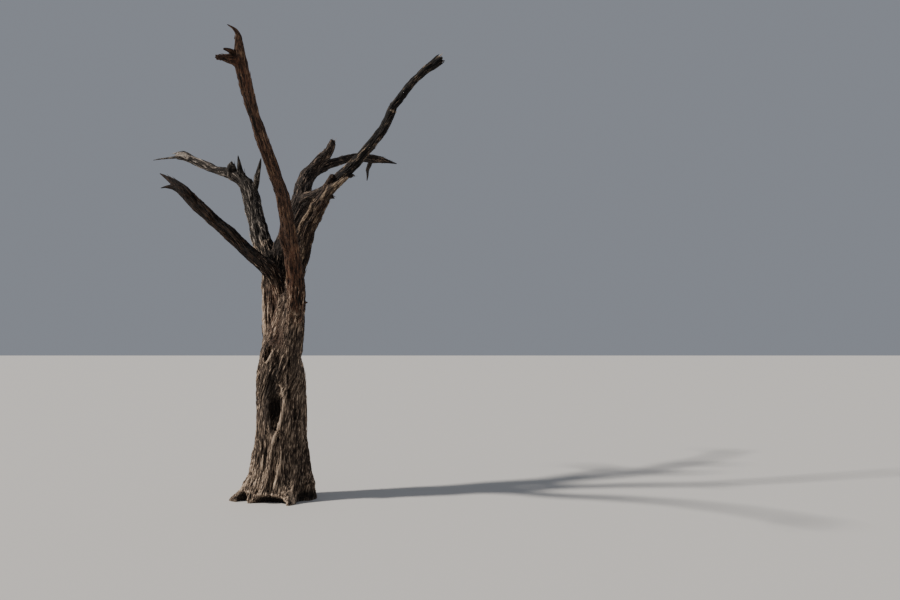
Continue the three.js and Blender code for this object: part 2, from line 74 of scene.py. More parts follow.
# shape of the limbs, in millimetres: stations of [x, y, z, radius] along the middle of each, from
# inside its parent. Its own piece starts at the station "cut", unless it is part of another "piece".
limbShapes = {
    "rightBough": {
        "path": [
            [118, -40, 1000, 96], [148, -105, 1295, 96], [166, -138, 1445, 88], [180, -150, 1585, 86],
            [196, -155, 1725, 86], [203, -160, 1870, 84], [206, -165, 2025, 81], [230, -172, 2155, 77],
            [276, -200, 2310, 76], [316, -240, 2482, 75], [352, -260, 2568, 77], [408, -288, 2648, 69],
            [482, -315, 2764, 57], [524, -325, 2828, 53], [560, -330, 2882, 52], [590, -333, 2916, 40],
        ],
        "cut": 6, "ridges": 5, "twist": 0.8, "wood": "right", "fillet": 34,
    },
    "rightBoughUpper": {
        "path": [
            [554, -332, 2874, 40], [620, -330, 2942, 46], [690, -312, 3012, 47], [826, -290, 3166, 43],
            [950, -262, 3330, 43], [1020, -240, 3435, 45], [1068, -220, 3545, 43], [1092, -214, 3605, 42],
            [1110, -210, 3650, 35], [1160, -198, 3720, 35], [1250, -172, 3850, 34], [1380, -140, 4000, 35],
            [1475, -120, 4080, 41], [1538, -102, 4138, 48],
        ],
        "parent": "rightBough", "cut": 2, "ridges": 4, "twist": 1.2, "wood": "rightUpper", "breakDepth": 46,
        "fillet": 14,
    },
    "rightBoughShell": {
        "path": [
            [520, -335, 2800, 42], [576, -378, 2850, 39], [636, -418, 2882, 28], [686, -448, 2908, 21],
            [730, -470, 2930, 12],
        ],
        "piece": "rightBough", "ridges": 3, "wood": "shell", "breakDepth": 20, "fillet": 10,
    },
    "tallBough": {
        "path": [
            [186, -125, 1395, 78], [222, -225, 1565, 80], [256, -345, 1720, 77], [287, -462, 1840, 74],
            [300, -555, 1985, 73], [299, -648, 2160, 69], [296, -785, 2345, 63], [293, -930, 2535, 55],
            [284, -1040, 2680, 50], [255, -1175, 2820, 47], [220, -1330, 2983, 46], [200, -1490, 3125, 43],
            [198, -1670, 3248, 41], [206, -1815, 3327, 42], [211, -1925, 3398, 44], [212, -1958, 3420, 30],
        ],
        "cut": 4, "ridges": 5, "twist": 0.9, "wood": "tall", "fillet": 34,
    },
    "tallBoughHorn": {
        "path": [
            [210, -1925, 3396, 42], [216, -1975, 3440, 37], [227, -2020, 3463, 32], [239, -2070, 3490, 24],
            [243, -2100, 3514, 16], [235, -2124, 3530, 12], [222, -2162, 3534, 7], [209, -2208, 3530, 4],
        ],
        "parent": "tallBough", "cut": 2, "ridges": 3, "wood": "tall", "fillet": 14,
    },
    "tallBoughStub": {
        "path": [
            [210, -1925, 3402, 40], [182, -1945, 3408, 42], [150, -1975, 3402, 32], [130, -2010, 3392, 24],
            [118, -2050, 3380, 19], [105, -2094, 3363, 16],
        ],
        "parent": "tallBough", "cut": 3, "ridges": 3, "wood": "tall", "breakDepth": 10, "fillet": 10,
    },
    "tallBoughSnag": {
        "path": [[194, -1955, 3432, 26], [160, -1998, 3446, 15], [136, -2040, 3440, 8]],
        "piece": "tallBough", "ridges": 2, "wood": "tall", "fillet": 8,
    },
    "tallBoughSpike": {
        "path": [
            [282, -740, 2235, 34], [250, -790, 2295, 26], [236, -822, 2355, 20], [238, -858, 2405, 13],
            [246, -888, 2455, 5],
        ],
        "piece": "tallBough", "ridges": 2, "wood": "tall", "fillet": 10,
    },
    "backBough": {
        "path": [
            [0, 112, 1280, 82], [-12, 128, 1560, 96], [-15, 132, 1810, 97], [-14, 122, 2060, 91],
            [-6, 110, 2205, 84], [10, 112, 2365, 77], [28, 126, 2435, 74], [98, 203, 2665, 75],
            [140, 285, 2835, 79], [148, 390, 2985, 80], [152, 510, 3107, 78], [172, 600, 3201, 76],
            [192, 650, 3257, 52],
        ],
        "cut": 6, "ridges": 5, "twist": 1.1, "wood": "back", "fillet": 34,
    },
    "backBoughStub": {
        "path": [
            [160, 575, 3177, 66], [222, 620, 3283, 60], [278, 608, 3347, 50], [368, 560, 3415, 45],
            [405, 530, 3470, 41], [430, 510, 3525, 30],
        ],
        "parent": "backBough", "cut": 2, "ridges": 4, "twist": 1, "wood": "back", "breakDepth": 26,
        "fillet": 22,
    },
    "backBoughArm": {
        "path": [
            [160, 585, 3187, 68], [215, 690, 3265, 66], [272, 750, 3310, 60], [335, 822, 3361, 51],
            [430, 935, 3422, 43], [540, 1100, 3500, 45], [632, 1280, 3547, 48], [735, 1412, 3563, 49],
            [855, 1450, 3557, 33], [940, 1468, 3541, 17], [1010, 1480, 3525, 5],
        ],
        "parent": "backBough", "cut": 3, "ridges": 4, "twist": 1, "wood": "arm", "fillet": 22,
    },
    "backBoughTwig": {
        "path": [
            [722, 1415, 3555, 26], [690, 1500, 3510, 25], [660, 1580, 3473, 19], [650, 1668, 3425, 12],
            [636, 1730, 3381, 5],
        ],
        "parent": "backBoughArm", "cut": 1, "ridges": 2, "wood": "arm", "fillet": 14,
    },
    "backBoughSpur": {
        "path": [
            [140, 275, 2835, 60], [212, 250, 2873, 60], [285, 226, 2895, 58], [345, 208, 2923, 50],
            [425, 202, 2980, 38], [512, 222, 3093, 27], [595, 262, 3210, 6],
        ],
        "parent": "backBough", "cut": 2, "ridges": 3, "twist": 0.8, "wood": "back", "fillet": 24,
    },
    "leftBackBough": {
        "path": [
            [30, 30, 1015, 108], [-14, 55, 1295, 114], [-28, 70, 1525, 113], [-34, 80, 1705, 114],
            [-47, 92, 1870, 111], [-60, 106, 2035, 111], [-78, 122, 2160, 103], [-132, 158, 2300, 93],
            [-194, 198, 2425, 90], [-270, 250, 2650, 76], [-321, 300, 2800, 79], [-358, 335, 2930, 81],
            [-412, 358, 3043, 73], [-460, 366, 3095, 52],
        ],
        "cut": 8, "ridges": 6, "twist": 0.7, "wood": "leftBack", "fillet": 34,
    },
    "leftBackArm": {
        "path": [
            [-405, 356, 3045, 58], [-500, 365, 3120, 60], [-590, 380, 3162, 52], [-660, 394, 3184, 46],
            [-735, 412, 3203, 40], [-850, 450, 3257, 45], [-995, 490, 3322, 41], [-1090, 514, 3368, 46],
            [-1176, 530, 3377, 38],
        ],
        "parent": "leftBackBough", "cut": 3, "ridges": 4, "twist": 1, "wood": "leftBack", "breakDepth": 28,
        "fillet": 22,
    },
    "leftBackKnob": {
        "path": [[-556, 362, 3150, 44], [-556, 346, 3197, 47], [-553, 332, 3233, 38], [-550, 322, 3253, 14]],
        "piece": "leftBackBough", "ridges": 3, "wood": "leftBack", "fillet": 12,
    },
    "leftBackArmTwig": {
        "path": [
            [-1110, 520, 3360, 15], [-1206, 540, 3362, 14], [-1290, 560, 3359, 10], [-1375, 580, 3355, 7],
            [-1450, 600, 3348, 4],
        ],
        "parent": "leftBackArm", "cut": 1, "ridges": 2, "wood": "leftBack", "fillet": 8,
    },
    "leftBackStub": {
        "path": [
            [-445, 352, 3070, 40], [-460, 340, 3145, 32], [-467, 325, 3193, 24], [-466, 296, 3251, 17],
            [-470, 270, 3313, 5],
        ],
        "parent": "leftBackBough", "cut": 2, "ridges": 2, "wood": "leftBack", "fillet": 16,
    },
    "leftBackTwig": {
        "path": [
            [-350, 332, 2920, 38], [-316, 322, 2990, 32], [-290, 298, 3057, 28], [-274, 274, 3125, 24],
            [-246, 238, 3203, 17], [-226, 212, 3269, 5],
        ],
        "parent": "leftBackBough", "cut": 2, "ridges": 2, "wood": "leftBack", "fillet": 16,
    },
    "leftFrontBough": {
        "path": [
            [60, 0, 1720, 56], [52, -12, 1880, 58], [14, -62, 2046, 70], [-34, -98, 2132, 73],
            [-90, -112, 2188, 69], [-150, -122, 2234, 63], [-238, -128, 2308, 61], [-380, -140, 2449, 61],
            [-560, -156, 2604, 58], [-720, -168, 2750, 56], [-822, -178, 2862, 52], [-903, -180, 2930, 38],
            [-958, -178, 2973, 26], [-1009, -172, 3005, 15], [-1055, -170, 3032, 5],
        ],
        "cut": 5, "ridges": 4, "twist": 1, "wood": "leftFront", "fillet": 26,
    },
    "leftFrontProng": {
        "path": [
            [-820, -178, 2835, 34], [-890, -184, 2890, 29], [-950, -190, 2905, 19], [-996, -197, 2901, 10],
            [-1032, -200, 2891, 5],
        ],
        "piece": "leftFrontBough", "ridges": 2, "wood": "leftFront", "fillet": 8,
    },
    "rightBoughKnob": {
        "path": [[530, -335, 2850, 46], [556, -350, 2915, 42], [568, -356, 2955, 31]],
        "piece": "rightBough", "ridges": 3, "wood": "right", "fillet": 8,
    },
    "rightBoughSnag": {
        "path": [[728, -312, 2980, 22], [752, -322, 2984, 12], [770, -328, 2978, 5]],
        "piece": "rightBoughUpper", "ridges": 2, "wood": "rightUpper", "fillet": 6,
    },
    "rightBoughThorn": {
        "path": [[548, -322, 2790, 24], [574, -336, 2776, 12], [592, -344, 2768, 5]],
        "piece": "rightBough", "ridges": 2, "wood": "right", "fillet": 6,
    },
    "stemThorn": {
        "path": [[322, -425, 1812, 24], [354, -440, 1822, 14], [378, -446, 1826, 5]],
        "piece": "tallBough", "ridges": 2, "wood": "tall", "fillet": 6,
    },
    "spurHeel": {
        "path": [[110, 262, 2700, 52], [176, 250, 2772, 50], [252, 236, 2826, 44]],
        "piece": "backBough", "ridges": 3, "wood": "back", "fillet": 20,
    },
    "trunkCrest": {
        "path": [
            [-40, -70, 1380, 72], [0, -92, 1460, 80], [50, -110, 1572, 82], [76, -128, 1690, 74],
            [84, -142, 1765, 64], [94, -152, 1840, 50], [98, -152, 1890, 30],
        ],
        "piece": "trunk", "ridges": 3, "twist": 2, "wood": "trunk", "fillet": 44,
    },
    "trunkWeb": {
        "path": [[110, -130, 1400, 66], [130, -165, 1560, 66], [150, -185, 1690, 54], [152, -185, 1800, 34]],
        "piece": "trunk", "ridges": 3, "twist": 2, "wood": "trunk", "fillet": 50,
    },
}

# the trunk, in millimetres
trunkShape = {
    "top": 1700,
    "box": [[-500, -350, -50], [550, 400, 1750]],  # corners of a box that holds all of it
    "ridges": [[9, 0.7, 1.0, 0.0], [4, 0.3, 1.6, 0.5]],  # count, share, how much they wind, and first bearing
    "ridgeHeight": 0.045,  # share of the radius
    # radians that the ridges turn in each metre of height, below and above the height "from"
    "twist": {"low": 0.2, "high": 2.0, "from": 950},
    "steepness": 0.85,  # keeps the distance true enough where the skin slopes
    # rows of height, middle x, middle y, half width, half depth
    "sections": [
        [0, 0, 25, 322, 205], [60, 8, 28, 322, 192], [150, 22, 34, 330, 180], [245, 33, 42, 296, 172],
        [395, 34, 48, 268, 164], [505, 38, 45, 249, 166], [620, 43, 38, 232, 174], [795, 45, 30, 230, 186],
        [965, 44, 15, 224, 196], [1115, 52, -8, 223, 208], [1205, 51, -20, 214, 210],
        [1320, 46, -30, 188, 202], [1400, 43, -30, 168, 182], [1480, 44, -22, 146, 152],
        [1600, 50, -10, 112, 112], [1700, 58, -6, 62, 66],
    ],
    # bearing, reach, half angle and height of the roots that run out at the ground
    "toes": [
        [183, 112, 14, 80], [-53, 72, 12, 120], [15, 72, 17, 110], [62, 70, 13, 140], [108, 80, 15, 150],
        [148, 66, 14, 130],
    ],
    # furrows, and ridges where the depth is below 0: bearing and height at both ends, half width, depth
    "furrows": [
        [-117, 600, -131, 120, 26, 22], [-85, 590, -97, 130, 24, 20], [-49, 420, -47, 90, 22, 20],
        [-12, 430, -17, 80, 26, 22], [-57, 1330, -55, 970, 20, 16], [-52, 960, -30, 600, 20, 14],
        [-53, 1600, -86, 1320, 26, 24], [-132, 1640, -150, 1440, 26, 22], [-146, 1330, -152, 900, 22, 14],
        [-70, 1000, -82, 715, 24, -14], [-82, 715, -108, 480, 24, -14], [-76, 470, -89, 110, 20, -10],
        [0, 1300, -5, 600, 24, 14], [30, 1250, 40, 300, 26, 20], [45, 700, 38, 90, 24, 22],
        [75, 1400, 85, 500, 28, 22], [85, 420, 84, 80, 26, 24], [125, 1300, 118, 700, 26, 18],
        [128, 560, 128, 90, 26, 24], [165, 1200, 168, 200, 26, 20],
    ],
    "furrowFade": 60,  # how far a furrow runs on past its ends
}

# wood that is eaten away, in millimetres: spindles of [x, y, z, radius], and how soft their edges are
hollowShapes = {
    "frontHollow": {
        "path": [
            [58, -205, 1000, 6], [46, -165, 955, 40], [38, -140, 880, 58], [36, -138, 800, 54],
            [28, -142, 710, 36], [20, -165, 610, 6],
        ],
        "edge": 8,
    },
    "frontScoop": {
        "path": [
            [44, -290, 1190, 20], [26, -280, 1100, 90], [10, -274, 980, 114], [8, -272, 860, 114],
            [16, -260, 740, 80], [20, -238, 640, 30],
        ],
        "edge": 30,
    },
    "knotHole": {
        "path": [
            [-50, -228, 1290, 6], [-40, -192, 1326, 30], [-24, -182, 1368, 38], [-8, -184, 1406, 30],
            [4, -218, 1448, 6],
        ],
        "edge": 6,
    },
    "headHole": {"path": [[172, -1996, 3428, 6], [194, -2012, 3428, 21], [212, -2004, 3414, 6]], "edge": 5},
    "backSplit": {
        "path": [[20, 245, 985, 5], [-10, 236, 825, 30], [-32, 226, 665, 34], [-52, 236, 505, 5]],
        "edge": 8,
    },
}
# the foot is worn hollow under its front edge and beside its toes: middle, and half width, depth and height
footArches = [
    {"middle": [-28, -190, -8], "size": [184, 120, 88]},
    {"middle": [-276, -84, 0], "size": [62, 66, 98]},
    {"middle": [286, -98, 0], "size": [62, 70, 88]},
]

skinSettings = {
    "voxel": 0.0045,  # spacing of the points that the skin is drawn on
    "blockCells": 8,           # cells along each side of one block of that lattice
    "margin": 0.03,            # how far the lattice reaches past the solids
    "groundShift": 0.63,       # the lattice's own level below the ground, in cells
    "ringSpacing": 0.03,       # spacing of the rings along a limb
    "limbReach": 0.075,        # how far off its skin a limb still counts
    "ridgeHeight": 0.07,       # ridges of a limb, as a share of its radius
    "archEdge": 0.008,         # how softly the arches round off into the skin
    "breakFibre": 0.011,       # width of one bundle of fibres where a limb is snapped
    "breakShare": (0.9, 1.5),  # how far back the shortest bundles end, and how much longer the longest are
    "breakStart": 0.004,       # how far before the last ring the bundles take over
    "breakWaist": 0.97,        # radius of the snapped end, as a share of the limb's
}
blockSize = skinSettings["voxel"] * skinSettings["blockCells"]
latticeStart = np.floor((np.array(cadBox[0]) - skinSettings["margin"]) / blockSize) * blockSize
latticeStart[2] = -skinSettings["groundShift"] * skinSettings["voxel"] - blockSize
blockCounts = np.ceil((np.array(cadBox[1]) + skinSettings["margin"] - latticeStart) / blockSize).astype(int)


def curvePoints(stations, spacing):
    # a centripetal curve through the stations: rows of x, y, z, radius and station number
    points = np.array(stations, float) / 1000
    ends = np.vstack([2 * points[0] - points[1], points, 2 * points[-1] - points[-2]])
    rows = []
    for i in range(len(points) - 1):
        p0, p1, p2, p3 = (ends[i + k, :3] for k in range(4))
        gaps = [max(np.linalg.norm(b - a), 1e-6) ** 0.5 for a, b in ((p0, p1), (p1, p2), (p2, p3))]
        start = ((p1 - p0) / gaps[0] - (p2 - p0) / (gaps[0] + gaps[1]) + (p2 - p1) / gaps[1]) * gaps[1]
        finish = ((p2 - p1) / gaps[1] - (p3 - p1) / (gaps[1] + gaps[2]) + (p3 - p2) / gaps[2]) * gaps[1]
        steps = max(2, round(np.linalg.norm(p2 - p1) / spacing))
        for step in range(steps + (i == len(points) - 2)):
            t = step / steps
            place = (p1 + start * t + (3 * (p2 - p1) - 2 * start - finish) * t * t
                     + (2 * (p1 - p2) + start + finish) * t ** 3)
            radius = points[i, 3] * (1 - t) + points[i + 1, 3] * t
            rows.append([*place, radius, i + t])
    return np.array(rows)


def limbRings(shape):
    # middle, directions, radius and run of every ring of a limb, and the run where its own piece starts
    rows = curvePoints(shape["path"], skinSettings["ringSpacing"])
    middle = rows[:, :3]
    along = np.gradient(middle, axis=0)
    along /= np.linalg.norm(along, axis=1)[:, None]
    side = np.zeros_like(middle)
    carried = np.array([1.0, 0, 0])
    for i, direction in enumerate(along):
        carried = carried - direction * carried.dot(direction)
        carried /= np.linalg.norm(carried)
        side[i] = carried
    run = np.concatenate([[0], np.cumsum(np.linalg.norm(np.diff(middle, axis=0), axis=1))])
    return {
        "middle": middle, "along": along, "side": side, "across": np.cross(side, along),
        "radius": rows[:, 3], "run": run,
        "cut": np.interp(shape["cut"], rows[:, 4], run) if "cut" in shape else -1.0,
    }


limbs = {name: {**shape, **limbRings(shape)} for name, shape in limbShapes.items()}
hollows = {name: {**shape, **limbRings(shape)} for name, shape in hollowShapes.items()}


def ridge(count, angle):
    # rounded ridges with sharper grooves between them, from -1 to 1
    return 2 * np.abs(np.cos(count * angle / 2)) - 1


def tubeCoordinates(tube, points, nearest):
    # how far each point is from the middle line, where along it and at which angle round it
    count = len(tube["run"]) - 1
    halfDiagonal = blockSize * math.sqrt(3) / 2
    window = math.ceil(halfDiagonal / skinSettings["ringSpacing"]) + 1  # rings to try on both sides
    best = np.full(len(points), 1e9, np.float32)
    place = np.zeros(len(points), np.float32)
    for offset in range(-window, window):
        i = np.clip(nearest + offset, 0, count - 1)
        start = tube["middle"][i]
        edge = tube["middle"][i + 1] - start
        away = points - start
        share = np.clip((away * edge).sum(1) / (edge * edge).sum(1), 0, 1)
        gap = ((away - share[:, None] * edge) ** 2).sum(1)
        better = gap < best
        best[better] = gap[better]
        place[better] = (i + share)[better]
    i = np.minimum(place.astype(int), count - 1)
    share = place - i

    def between(key, share):
        return tube[key][i] * (1 - share) + tube[key][i + 1] * share

    middle, side, across = (between(key, share[:, None]) for key in ("middle", "side", "across"))
    away = points - middle
    angle = np.arctan2((away * across).sum(1), (away * side).sum(1))
    return np.sqrt(best), between("run", share), angle, between("radius", share)


def fibreLengths(across, seed):
    # the snapped end of a limb: bundles of fibres, each broken off at its own length, from 0 to 1
    cell = np.floor(across)
    nearest = np.full(len(across), 9.0)
    length = np.zeros(len(across))
    for dx in (-1, 0, 1):
        for dy in (-1, 0, 1):
            corner = cell + (dx, dy)
            # a number of its own for each bundle, which gives its place and its length
            mixed = np.sin(corner @ np.array([127.1, 311.7]) + seed) * 43758.5453
            jitter = np.stack([mixed % 1, (mixed * 7.31) % 1], 1)
            gap = ((across - corner - jitter) ** 2).sum(1)
            better = gap < nearest
            nearest[better] = gap[better]
            length[better] = ((mixed * 3.17) % 1)[better]
    return length


def limbSkin(limb, points, nearest):
    # distance of each point from the limb's surface, with its run, angle and distance from the middle
    out, run, angle, radius = tubeCoordinates(limb, points, nearest)
    turn = limb.get("twist", 0) * run
    surface = radius * (1 + skinSettings["ridgeHeight"] * ridge(limb["ridges"], angle + turn))
    distance = out - surface
    depth = limb.get("breakDepth", 0) / 1000
    if depth:
        past = (points - limb["middle"][-1]) @ limb["along"][-1]
        near = past > -3 * depth
        if near.any():
            beyond = points[near] - limb["middle"][-1]
            across = np.stack([beyond @ limb["side"][-1], beyond @ limb["across"][-1]], 1)
            tube = np.hypot(across[:, 0], across[:, 1]) - limb["radius"][-1] * skinSettings["breakWaist"]
            length = fibreLengths(across / skinSettings["breakFibre"], limb["breakDepth"])
            shortest, spread = skinSettings["breakShare"]
            snapped = past[near] - depth * (spread * length - shortest)
            tube = np.where(past[near] > -skinSettings["breakStart"], tube, distance[near])
            distance[near] = np.maximum(tube, snapped * 0.6)  # shorter, because the bundles are uneven
    return distance, run, angle + turn, out


def trunkSkin(points):
    # the same for the trunk, which is an oval that changes with height
    height = points[:, 2] * 1000
    rows = np.array(trunkShape["sections"], float)
    middleX, middleY, halfWidth, halfDepth = (
        np.interp(height, rows[:, 0], rows[:, column]) / 1000 for column in (1, 2, 3, 4)
    )
    away = np.stack([points[:, 0] - middleX, points[:, 1] - middleY], 1)
    bearing = np.arctan2(away[:, 1], away[:, 0])
    oval = 1 / np.hypot(np.cos(bearing) / halfWidth, np.sin(bearing) / halfDepth)
    twist = trunkShape["twist"]
    windUp = (twist["high"] - twist["low"]) * np.maximum(height - twist["from"], 0)
    turn = (twist["low"] * height + windUp) / 1000
    ridges = sum(share * ridge(count, bearing - wind * turn + first)
                 for count, share, wind, first in trunkShape["ridges"])
    reach = oval * (1 + trunkShape["ridgeHeight"] * ridges)
    for toe, length, spread, rise in trunkShape["toes"]:
        off = (np.degrees(bearing) - toe + 180) % 360 - 180
        reach = reach + length / 1000 * np.exp(-((off / spread) ** 2) - (height / rise) ** 2)
    for bearing0, height0, bearing1, height1, width, depth in trunkShape["furrows"]:
        share = np.clip((height - height0) / (height1 - height0), 0, 1)
        off = (np.degrees(bearing) - bearing0 - (bearing1 - bearing0) * share + 180) % 360 - 180
        beyond = height - height0 - (height1 - height0) * share
        off = np.radians(off) * oval * 1000
        fade = (off / width) ** 2 + (beyond / trunkShape["furrowFade"]) ** 2
        reach = reach - depth / 1000 * np.exp(-fade)
    out = np.hypot(away[:, 0], away[:, 1])
    distance = np.maximum(out - reach, (height - trunkShape["top"]) / 1000) * trunkShape["steepness"]
    return distance, height / 1000, bearing - turn, out


def softMin(a, b, fillet):
    # joins two skins with a rounded corner
    blend = np.maximum(fillet - np.abs(a - b), 0) / fillet
    return np.minimum(a, b) - blend * blend * fillet / 4


def softMax(a, b, fillet):
    return -softMin(-a, -b, fillet)


def nearestRings(tube):
    # for every block, the tube's ring that is nearest to its middle, or -1 where the tube is far off
    nearest = np.full(blockCounts, -1, np.int16)
    gap = np.full(blockCounts, 1e9, np.float32)
    for i, (middle, radius) in enumerate(zip(tube["middle"], tube["radius"])):
        reach = radius + skinSettings["limbReach"]
        low = np.maximum(np.floor((middle - reach - latticeStart) / blockSize - 0.5), 0).astype(int)
        high = np.minimum(np.ceil((middle + reach - latticeStart) / blockSize + 0.5), blockCounts).astype(int)
        if (high <= low).any():
            continue
        axes = [
            latticeStart[k] + (np.arange(low[k], high[k]) + 0.5) * blockSize - middle[k] for k in range(3)
        ]
        squared = axes[0][:, None, None] ** 2 + axes[1][None, :, None] ** 2 + axes[2][None, None, :] ** 2
        window = tuple(slice(low[k], high[k]) for k in range(3))
        better = (squared < gap[window]) & (squared < (reach + blockSize) ** 2)
        gap[window] = np.where(better, squared, gap[window])
        nearest[window] = np.where(better, i, nearest[window])
    return nearest


for tube in [*limbs.values(), *hollows.values()]:
    tube["nearest"] = nearestRings(tube)


def woodSkin(points, blocks, parts=None):
    # distance of each point from the skin of the whole tree. parts gathers what each limb says.
    x, y, z = blocks.T
    total, run, angle, out = trunkSkin(points)
    if parts is not None:
        parts["trunk"] = (np.arange(len(points)), total, run, angle, out)
    total = total.astype(np.float32)
    for name, limb in limbs.items():
        nearest = limb["nearest"][x, y, z]
        here = np.flatnonzero(nearest >= 0)
        if not len(here):
            continue
        distance, run, angle, out = limbSkin(limb, points[here], nearest[here])
        if parts is not None:
            parts[name] = (here, distance, run, angle, out)
        total[here] = softMin(total[here], distance, limb["fillet"] / 1000)
    for hollow in hollows.values():
        nearest = hollow["nearest"][x, y, z]
        here = np.flatnonzero(nearest >= 0)
        if not len(here):
            continue
        out, run, angle, radius = tubeCoordinates(hollow, points[here], nearest[here])
        total[here] = softMax(total[here], radius - out, hollow["edge"] / 1000)
    for arch in footArches:
        inside = 1 - np.sqrt((((points * 1000 - arch["middle"]) / arch["size"]) ** 2).sum(1))
        total = softMax(total, inside * min(arch["size"]) / 1000, skinSettings["archEdge"])
    return np.maximum(total, -points[:, 2])


def activeBlocks():
    # the blocks that the skin passes through
    near = np.zeros(blockCounts, bool)
    for limb in limbs.values():
        near |= limb["nearest"] >= 0
    middles = [latticeStart[k] + (np.arange(blockCounts[k]) + 0.5) * blockSize for k in range(3)]
    low, high = np.array(trunkShape["box"]) / 1000
    inside = [(middles[k] > low[k]) & (middles[k] < high[k]) for k in range(3)]
    near |= inside[0][:, None, None] & inside[1][None, :, None] & inside[2][None, None, :]
    blocks = np.argwhere(near)
    points = latticeStart + (blocks + 0.5) * blockSize
    return blocks[np.abs(woodSkin(points, blocks)) < blockSize * 1.5]


def growSkin(blocks, chunk=1200):
    # draws the skin through the lattice: one point for each cell that it passes, joined in quads
    cells = skinSettings["blockCells"]
    voxel = skinSettings["voxel"]
    steps = np.arange(cells + 1)
    corner = np.stack(np.meshgrid(steps, steps, steps, indexing="ij"), -1)
    span = blockCounts * cells + 1
    weights = np.array([span[1] * span[2], span[2], 1], np.int64)
    keys, points, quads = [], [], []
    for start in range(0, len(blocks), chunk):
        some = blocks[start:start + chunk]
        lattice = some[:, None, None, None, :] * cells + corner
        places = latticeStart + lattice.reshape(-1, 3) * voxel
        owners = np.repeat(some, (cells + 1) ** 3, axis=0)
        value = woodSkin(places, owners).reshape(len(some), cells + 1, cells + 1, cells + 1)
        within = value < 0
        total = np.zeros((len(some), cells, cells, cells, 3), np.float32)
        crossings = np.zeros((len(some), cells, cells, cells), np.float32)
        for axis in range(3):
            for a in (0, 1):
                for b in (0, 1):
                    first = [slice(0, cells)] * 3
                    others = [k for k in range(3) if k != axis]
                    first[others[0]] = slice(a, a + cells)
                    first[others[1]] = slice(b, b + cells)
                    second = list(first)
                    second[axis] = slice(1, cells + 1)
                    v0, v1 = value[(slice(None), *first)], value[(slice(None), *second)]
                    crossed = (v0 < 0) != (v1 < 0)
                    share = np.where(crossed, v0 / np.where(crossed, v0 - v1, 1), 0)
                    total[..., axis] += share
                    total[..., others[0]] += crossed * a
                    total[..., others[1]] += crossed * b
                    crossings += crossed
        used = np.argwhere(crossings > 0)
        index = tuple(used.T)
        base = some[used[:, 0]] * cells + used[:, 1:]
        keys.append(base @ weights)
        points.append(latticeStart + (base + total[index] / crossings[index][:, None]) * voxel)
        for axis in range(3):
            others = [(axis + 1) % 3, (axis + 2) % 3]
            first = [slice(0, cells)] * 3
            second = list(first)
            second[axis] = slice(1, cells + 1)
            v0, v1 = within[(slice(None), *first)], within[(slice(None), *second)]
            for inward in (True, False):
                edges = np.argwhere((v0 == inward) & (v1 != inward))
                base = some[edges[:, 0]] * cells + edges[:, 1:]
                u, v = np.zeros(3, int), np.zeros(3, int)
                u[others[0]], v[others[1]] = 1, 1
                ring = [base - u - v, base - v, base, base - u]
                if not inward:
                    ring.reverse()
                quads.append(np.stack([corners @ weights for corners in ring], 1))
    keys, points, quads = np.concatenate(keys), np.concatenate(points), np.concatenate(quads)
    order = np.argsort(keys)
    keys, points = keys[order], points[order]
    found = np.searchsorted(keys, quads)
    found = np.minimum(found, len(keys) - 1)
    whole = (keys[found] == quads).all(1)
    print("skin:", len(points), "points,", int(whole.sum()), "quads,", int((~whole).sum()), "left out")
    return points, found[whole]


blocks = activeBlocks()
print("blocks:", len(blocks))
skinPoints, skinQuads = growSkin(blocks)
skinPoints[skinPoints[:, 2] < 0.4 * skinSettings["voxel"], 2] = 0  # the flat cut at ground level

# what each wood looks like. "tone" is its middle colour and "slot" its finish. The trunk's wood turns
# into it over the heights of "rise", and below 0 "pale" leaves fewer of its ridges worn.
woodLooks = {
    # the dark tones and low pale of rightUpper and leftFront are partly their own wood and partly painted
    # shade, for the sides of them that the light does not reach
    "trunk": {"tone": "#5a4b3f", "slot": "trunk_wood"},
    "tall": {"tone": "#583e2f", "slot": "tall_bough_wood", "rise": (1.55, 1.8), "pale": -0.2},
    "right": {"tone": "#3c2b20", "slot": "right_bough_wood", "rise": (1.5, 1.9), "pale": -0.12},
    "rightUpper": {"tone": "#201a17", "slot": "right_bough_wood", "pale": -0.45},
    "shell": {"tone": "#43362a", "slot": "right_bough_wood"},
    "back": {"tone": "#3a302a", "slot": "back_bough_wood", "rise": (1.8, 2.2), "pale": -0.12},
    "arm": {"tone": "#342b26", "slot": "back_bough_wood", "pale": -0.3},
    "leftBack": {"tone": "#3f3832", "slot": "left_back_wood", "rise": (1.9, 2.25), "pale": -0.14},
    "leftFront": {"tone": "#35251a", "slot": "left_front_wood", "rise": (1.95, 2.1), "pale": -0.35},
}
redWoodAndWarmLight = "#6b402a"  # tone of the wood where the bark has gone last, and of warm reflected light painted on the upper trunk

# how the skin reads the wood, in metres
readSettings = {
    "grainShift": 3.7,      # moves the pattern on from each limb to the next
    "blendGap": 0.045,      # how far the woods of two limbs run into each other
    # the next two settings paint shade into the hollows and holes
    "shadeDepth": 0.055,    # depth over which a hollow turns dark
    "shadeStart": 0.28,     # share of that depth that stays light
    "footFade": 0.03,       # the relief dies away over this height at the ground
    "fullRelief": 0.085,    # radius from which a limb has all of its relief
    "leastRelief": 0.1,     # share of it that the thinnest twig has
    "trunkKnobs": 0.15,     # share of the slow swelling that the trunk has
    "knobsFrom": 1.3,       # height where the swelling starts to grow
    "footPale": (0.2, 0.4),  # how much paler the foot is, and up to which height
    "paleLight": 0.45,      # how far a worn edge stays out of the shade
}


def linearColour(hexColour):
    channels = [int(hexColour[i:i + 2], 16) / 255 for i in (1, 3, 5)]
    return [c / 12.92 if c <= 0.04045 else ((c + 0.055) / 1.055) ** 2.4 for c in channels]


